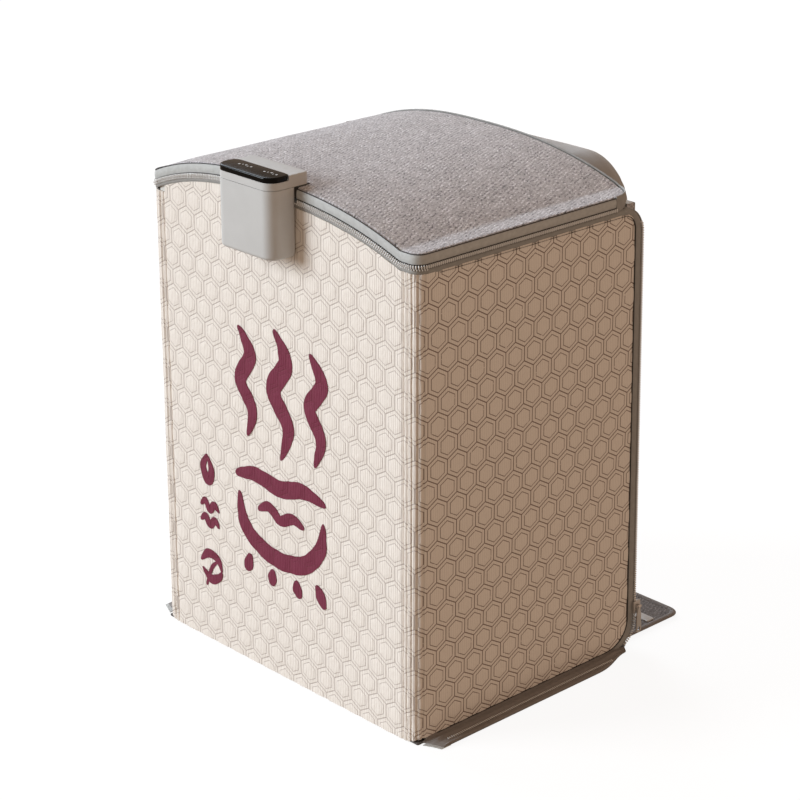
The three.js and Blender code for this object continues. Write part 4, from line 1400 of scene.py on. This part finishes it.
@dataclass
class PrintedMarks:
    """Wine-coloured brush marks on the front: plain steam wisps, a basin with waves, and drops."""

    layout: Layout
    finishes: Finishes
    lift: float = 1.1
    weight: float = 1.22
    large: tuple[tuple[tuple[float, float, float], ...], ...] = (
        ((-62, 380, 5), (-44, 352, 15), (-60, 322, 15), (-42, 292, 13), (-50, 262, 4)),
        ((-6, 390, 5), (12, 358, 17), (-8, 324, 18), (14, 288, 15), (2, 250, 4)),
        ((48, 378, 5), (66, 350, 15), (48, 320, 15), (64, 290, 13), (54, 258, 4)),
        ((-72, 214, 7), (-40, 222, 14), (0, 218, 16), (36, 226, 14), (70, 220, 6)),
        ((-66, 196, 6), (-58, 160, 15), (-28, 140, 17), (4, 136, 17), (36, 144, 16), (60, 168, 14), (66, 200, 5)),
        ((-36, 184, 5), (-18, 192, 10), (0, 182, 10), (18, 190, 10), (36, 184, 5)),
        ((-50, 128, 4), (-54, 116, 12), (-58, 106, 5)),
        ((-14, 122, 4), (-16, 111, 12), (-18, 102, 5)),
        ((22, 122, 4), (24, 111, 12), (26, 102, 5)),
        ((54, 128, 4), (60, 116, 13), (66, 104, 5)),
    )
    small: tuple[tuple[tuple[float, float, float], ...], ...] = (
        ((-120, 220, 3), (-127, 204, 9), (-120, 190, 10), (-113, 202, 8), (-119, 218, 3)),
        ((-134, 158, 3), (-126, 165, 7), (-118, 156, 7), (-110, 164, 7), (-102, 157, 3)),
        ((-134, 140, 3), (-126, 147, 7), (-118, 138, 7), (-110, 146, 7), (-102, 139, 3)),
        ((-136, 92, 3), (-122, 104, 9), (-106, 100, 7), (-100, 88, 3)),
        ((-134, 84, 3), (-120, 74, 9), (-106, 80, 7), (-100, 88, 3)),
        ((-128, 64, 3), (-118, 88, 4), (-108, 98, 3)),
    )

    def stroke(self, name: str, path: Sequence[tuple[float, float, float]], seed: int) -> None:
        """One brush stroke laid over the quilted cloth.

        Args:
            name: The piece's name.
            path: Points of its middle line, each X, Z and width.
            seed: Seed of its ragged edge.
        """
        knots = np.array(path, float)
        reach = np.concatenate([[0], np.cumsum(np.linalg.norm(np.diff(knots[:, :2], axis=0), axis=1))])
        random = np.random.default_rng(seed)
        phase = random.uniform(0, 6, 6)

        def middle(s: Array) -> Array:
            spot = s * reach[-1]
            index = np.clip(np.searchsorted(reach, spot, "right") - 1, 0, len(reach) - 2)
            f = ((spot - reach[index]) / (reach[index + 1] - reach[index]))[:, None]
            pick = lambda i: knots[np.clip(i, 0, len(knots) - 1)]
            p0, p1, p2, p3 = pick(index - 1), pick(index), pick(index + 1), pick(index + 2)
            return 0.5 * (2 * p1 + (p2 - p0) * f + (2 * p0 - 5 * p1 + 4 * p2 - p3) * f ** 2
                          + (3 * p1 - p0 - 3 * p2 + p3) * f ** 3)

        def place(s: Array, t: Array) -> Array:
            here, ahead, behind = middle(s), middle(np.minimum(s + 0.01, 1)), middle(np.maximum(s - 0.01, 0))
            run = (ahead - behind)[:, :2]
            run /= np.maximum(np.linalg.norm(run, axis=1), 1e-9)[:, None]
            ragged = sum(np.sin(s * reach[-1] / (2.0 + k) + phase[k] + (t > 0.5) * 2.0) for k in range(6)) / 6
            end = np.clip(1 - np.abs(2 * s - 1) ** 14, 0.02, 1) ** 0.5
            width = np.maximum(here[:, 2], 1.0) * self.weight * end / 2 + 0.7 * ragged * end
            side = (t * 2 - 1) * width
            u, z = here[:, 0] - run[:, 1] * side, here[:, 1] + run[:, 0] * side
            x, y = self.layout.wrap(u, self.layout.quilt(u, z) + self.lift)
            return stack(x, y, z)

        def cloth(s: Array, t: Array) -> Array:
            points = place(s, t)
            return points[:, [0, 2]]

        piece = patch(name, max(12, int(reach[-1] / 1.6)), 8, place, cloth, thickness=0.3)
        dress(piece, self.finishes.ink, "box")

    def build(self) -> None:
        """Every stroke of the large and the small marks."""
        for group, strokes in (("large", self.large), ("small", self.small)):
            for index, path in enumerate(strokes):
                self.stroke(f"mark_{group}_{index}", path, 11 + index)


@dataclass
class Fittings:
    """Zip sliders and pulls, and the CAD nodes that only need their finish."""

    finishes: Finishes
    metal: tuple[tuple[str, str], ...] = (
        ("rear_slider_right", "right_slider"), ("rear_pull_right", "right_pull"), ("rear_slider_left", "left_slider"),
        ("rear_pull_left", "left_pull"), ("cover_slider", "cover_slider"), ("cover_pull", "cover_pull"))

    def build(self) -> None:
        """Softens the metal pieces and dresses the rest."""
        for node, body in self.metal:
            piece = refined(node, 0.28)
            dress(piece, self.finishes.metal, body)
        looks = {
            self.finishes.foam: ("front_wall_board", "right_wall_board", "left_wall_board", "base_board",
                                 "rear_panel_board", "cover_foam"),
            self.finishes.lining: ("front_wall_lining", "right_wall_lining", "left_wall_lining", "base_lining",
                                   "rear_panel_lining", "cover_lining"),
            self.finishes.film: ("front_heating_film", "right_heating_film", "left_heating_film", "base_heating_film",
                                 "film_lead"),
            self.finishes.grip: ("base_underside",),
            self.finishes.black: ("lead_socket", "temperature_sensor", "pod_display", "pod_relay", "pod_supply_inlet"),
            self.finishes.circuit: ("pod_touch_board", "pod_power_board"),
        }
        for material, nodes in looks.items():
            for node in nodes:
                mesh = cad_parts[node].data
                mesh.materials.clear()
                mesh.materials.append(material)


@dataclass
class Studio:
    """Floor, soft light and camera."""

    target: tuple[float, float, float] = (11.2, 0.0, 276.5)
    azimuth: float = 46.7
    elevation: float = 21.4
    distance: float = 2495.6
    lens: float = 106.6

    def sun(self, name: str, source: tuple[float, float, float], strength: float, spread: float,
            colour: tuple[float, float, float]) -> None:
        """A soft lamp that shines from a direction.

        Args:
            name: The lamp's name.
            source: Direction towards the lamp.
            strength: Its strength.
            spread: Its angular size in degrees.
            colour: Its colour.
        """
        lamp = bpy.data.lights.new(name, "SUN")
        lamp.energy, lamp.angle, lamp.color = strength, math.radians(spread), colour
        holder = bpy.data.objects.new(name, lamp)
        holder.rotation_mode = "QUATERNION"
        holder.rotation_quaternion = Vector(source).to_track_quat("Z", "Y")
        bpy.context.scene.collection.objects.link(holder)

    def floor(self) -> None:
        """A plain pale floor that takes a faint shadow."""
        begin()
        bpy.ops.mesh.primitive_plane_add(size=30.0, location=(0, 0, -0.0006))
        ground = bpy.context.object
        ground.name = "studio_floor"
        s = Shader("studio_floor")
        material = s.finish((0.16, 0.16, 0.16), 1.0, Emission_Strength=0.90, Specular_IOR_Level=0.0)
        s.surface.inputs["Emission Color"].default_value = (1, 1, 1, 1)
        ground.data.materials.append(material)
        ground.visible_diffuse = False
        ground.visible_glossy = False

    def world(self) -> None:
        """White surroundings that light the object only softly."""
        world = bpy.data.worlds.new("studio")
        bpy.context.scene.world = world
        world.use_nodes = True
        nodes, links = world.node_tree.nodes, world.node_tree.links
        nodes.clear()
        seen, lit = nodes.new("ShaderNodeBackground"), nodes.new("ShaderNodeBackground")
        seen.inputs["Color"].default_value, seen.inputs["Strength"].default_value = (1, 1, 1, 1), 1.0
        lit.inputs["Color"].default_value, lit.inputs["Strength"].default_value = (1.0, 0.76, 0.58, 1), 0.36
        path, mix, out = (nodes.new(k) for k in ("ShaderNodeLightPath", "ShaderNodeMixShader", "ShaderNodeOutputWorld"))
        links.new(path.outputs["Is Camera Ray"], mix.inputs[0])
        links.new(lit.outputs[0], mix.inputs[1])
        links.new(seen.outputs[0], mix.inputs[2])
        links.new(mix.outputs[0], out.inputs[0])

    def camera(self) -> None:
        """The camera."""
        a, e = math.radians(self.azimuth), math.radians(self.elevation)
        back = Vector((math.sin(a) * math.cos(e), -math.cos(a) * math.cos(e), math.sin(e)))
        data = bpy.data.cameras.new("camera")
        data.lens, data.sensor_width = self.lens, 36.0
        holder = bpy.data.objects.new("camera", data)
        holder.rotation_mode = "QUATERNION"
        holder.location = (Vector(self.target) + back * self.distance) * MM
        holder.rotation_quaternion = (-back).to_track_quat("-Z", "Y")
        bpy.context.scene.collection.objects.link(holder)
        bpy.context.scene.camera = holder

    def build(self) -> None:
        """The whole studio."""
        bpy.context.scene.view_settings.view_transform = "Standard"
        self.floor()
        self.world()
        self.sun("key", (-0.62, -0.80, 0.34), 3.15, 30.0, (0.91, 1.0, 1.08))
        self.sun("overhead", (-1.0, 0.25, 0.62), 1.55, 42.0, (0.87, 1.0, 1.14))
        self.sun("fill", (0.9, 0.5, 0.35), 0.30, 70.0, (1.0, 0.60, 0.40))
        self.camera()


def main() -> None:
    """Builds the sauna piece by piece."""
    logging.basicConfig(level=logging.INFO, format="%(message)s", stream=sys.stdout)
    layout, finishes = Layout(), Finishes()
    for part in (Studio(), PrintedWrap(layout, finishes), WallZips(layout, finishes), DomedCover(layout, finishes),
                 RearPanel(layout, finishes), FloorFlap(layout, finishes), ControlPod(finishes),
                 PrintedMarks(layout, finishes), Fittings(finishes)):
        log.info("building %s", type(part).__name__)
        part.build()
    begin()


if __name__ == "__main__":
    main()
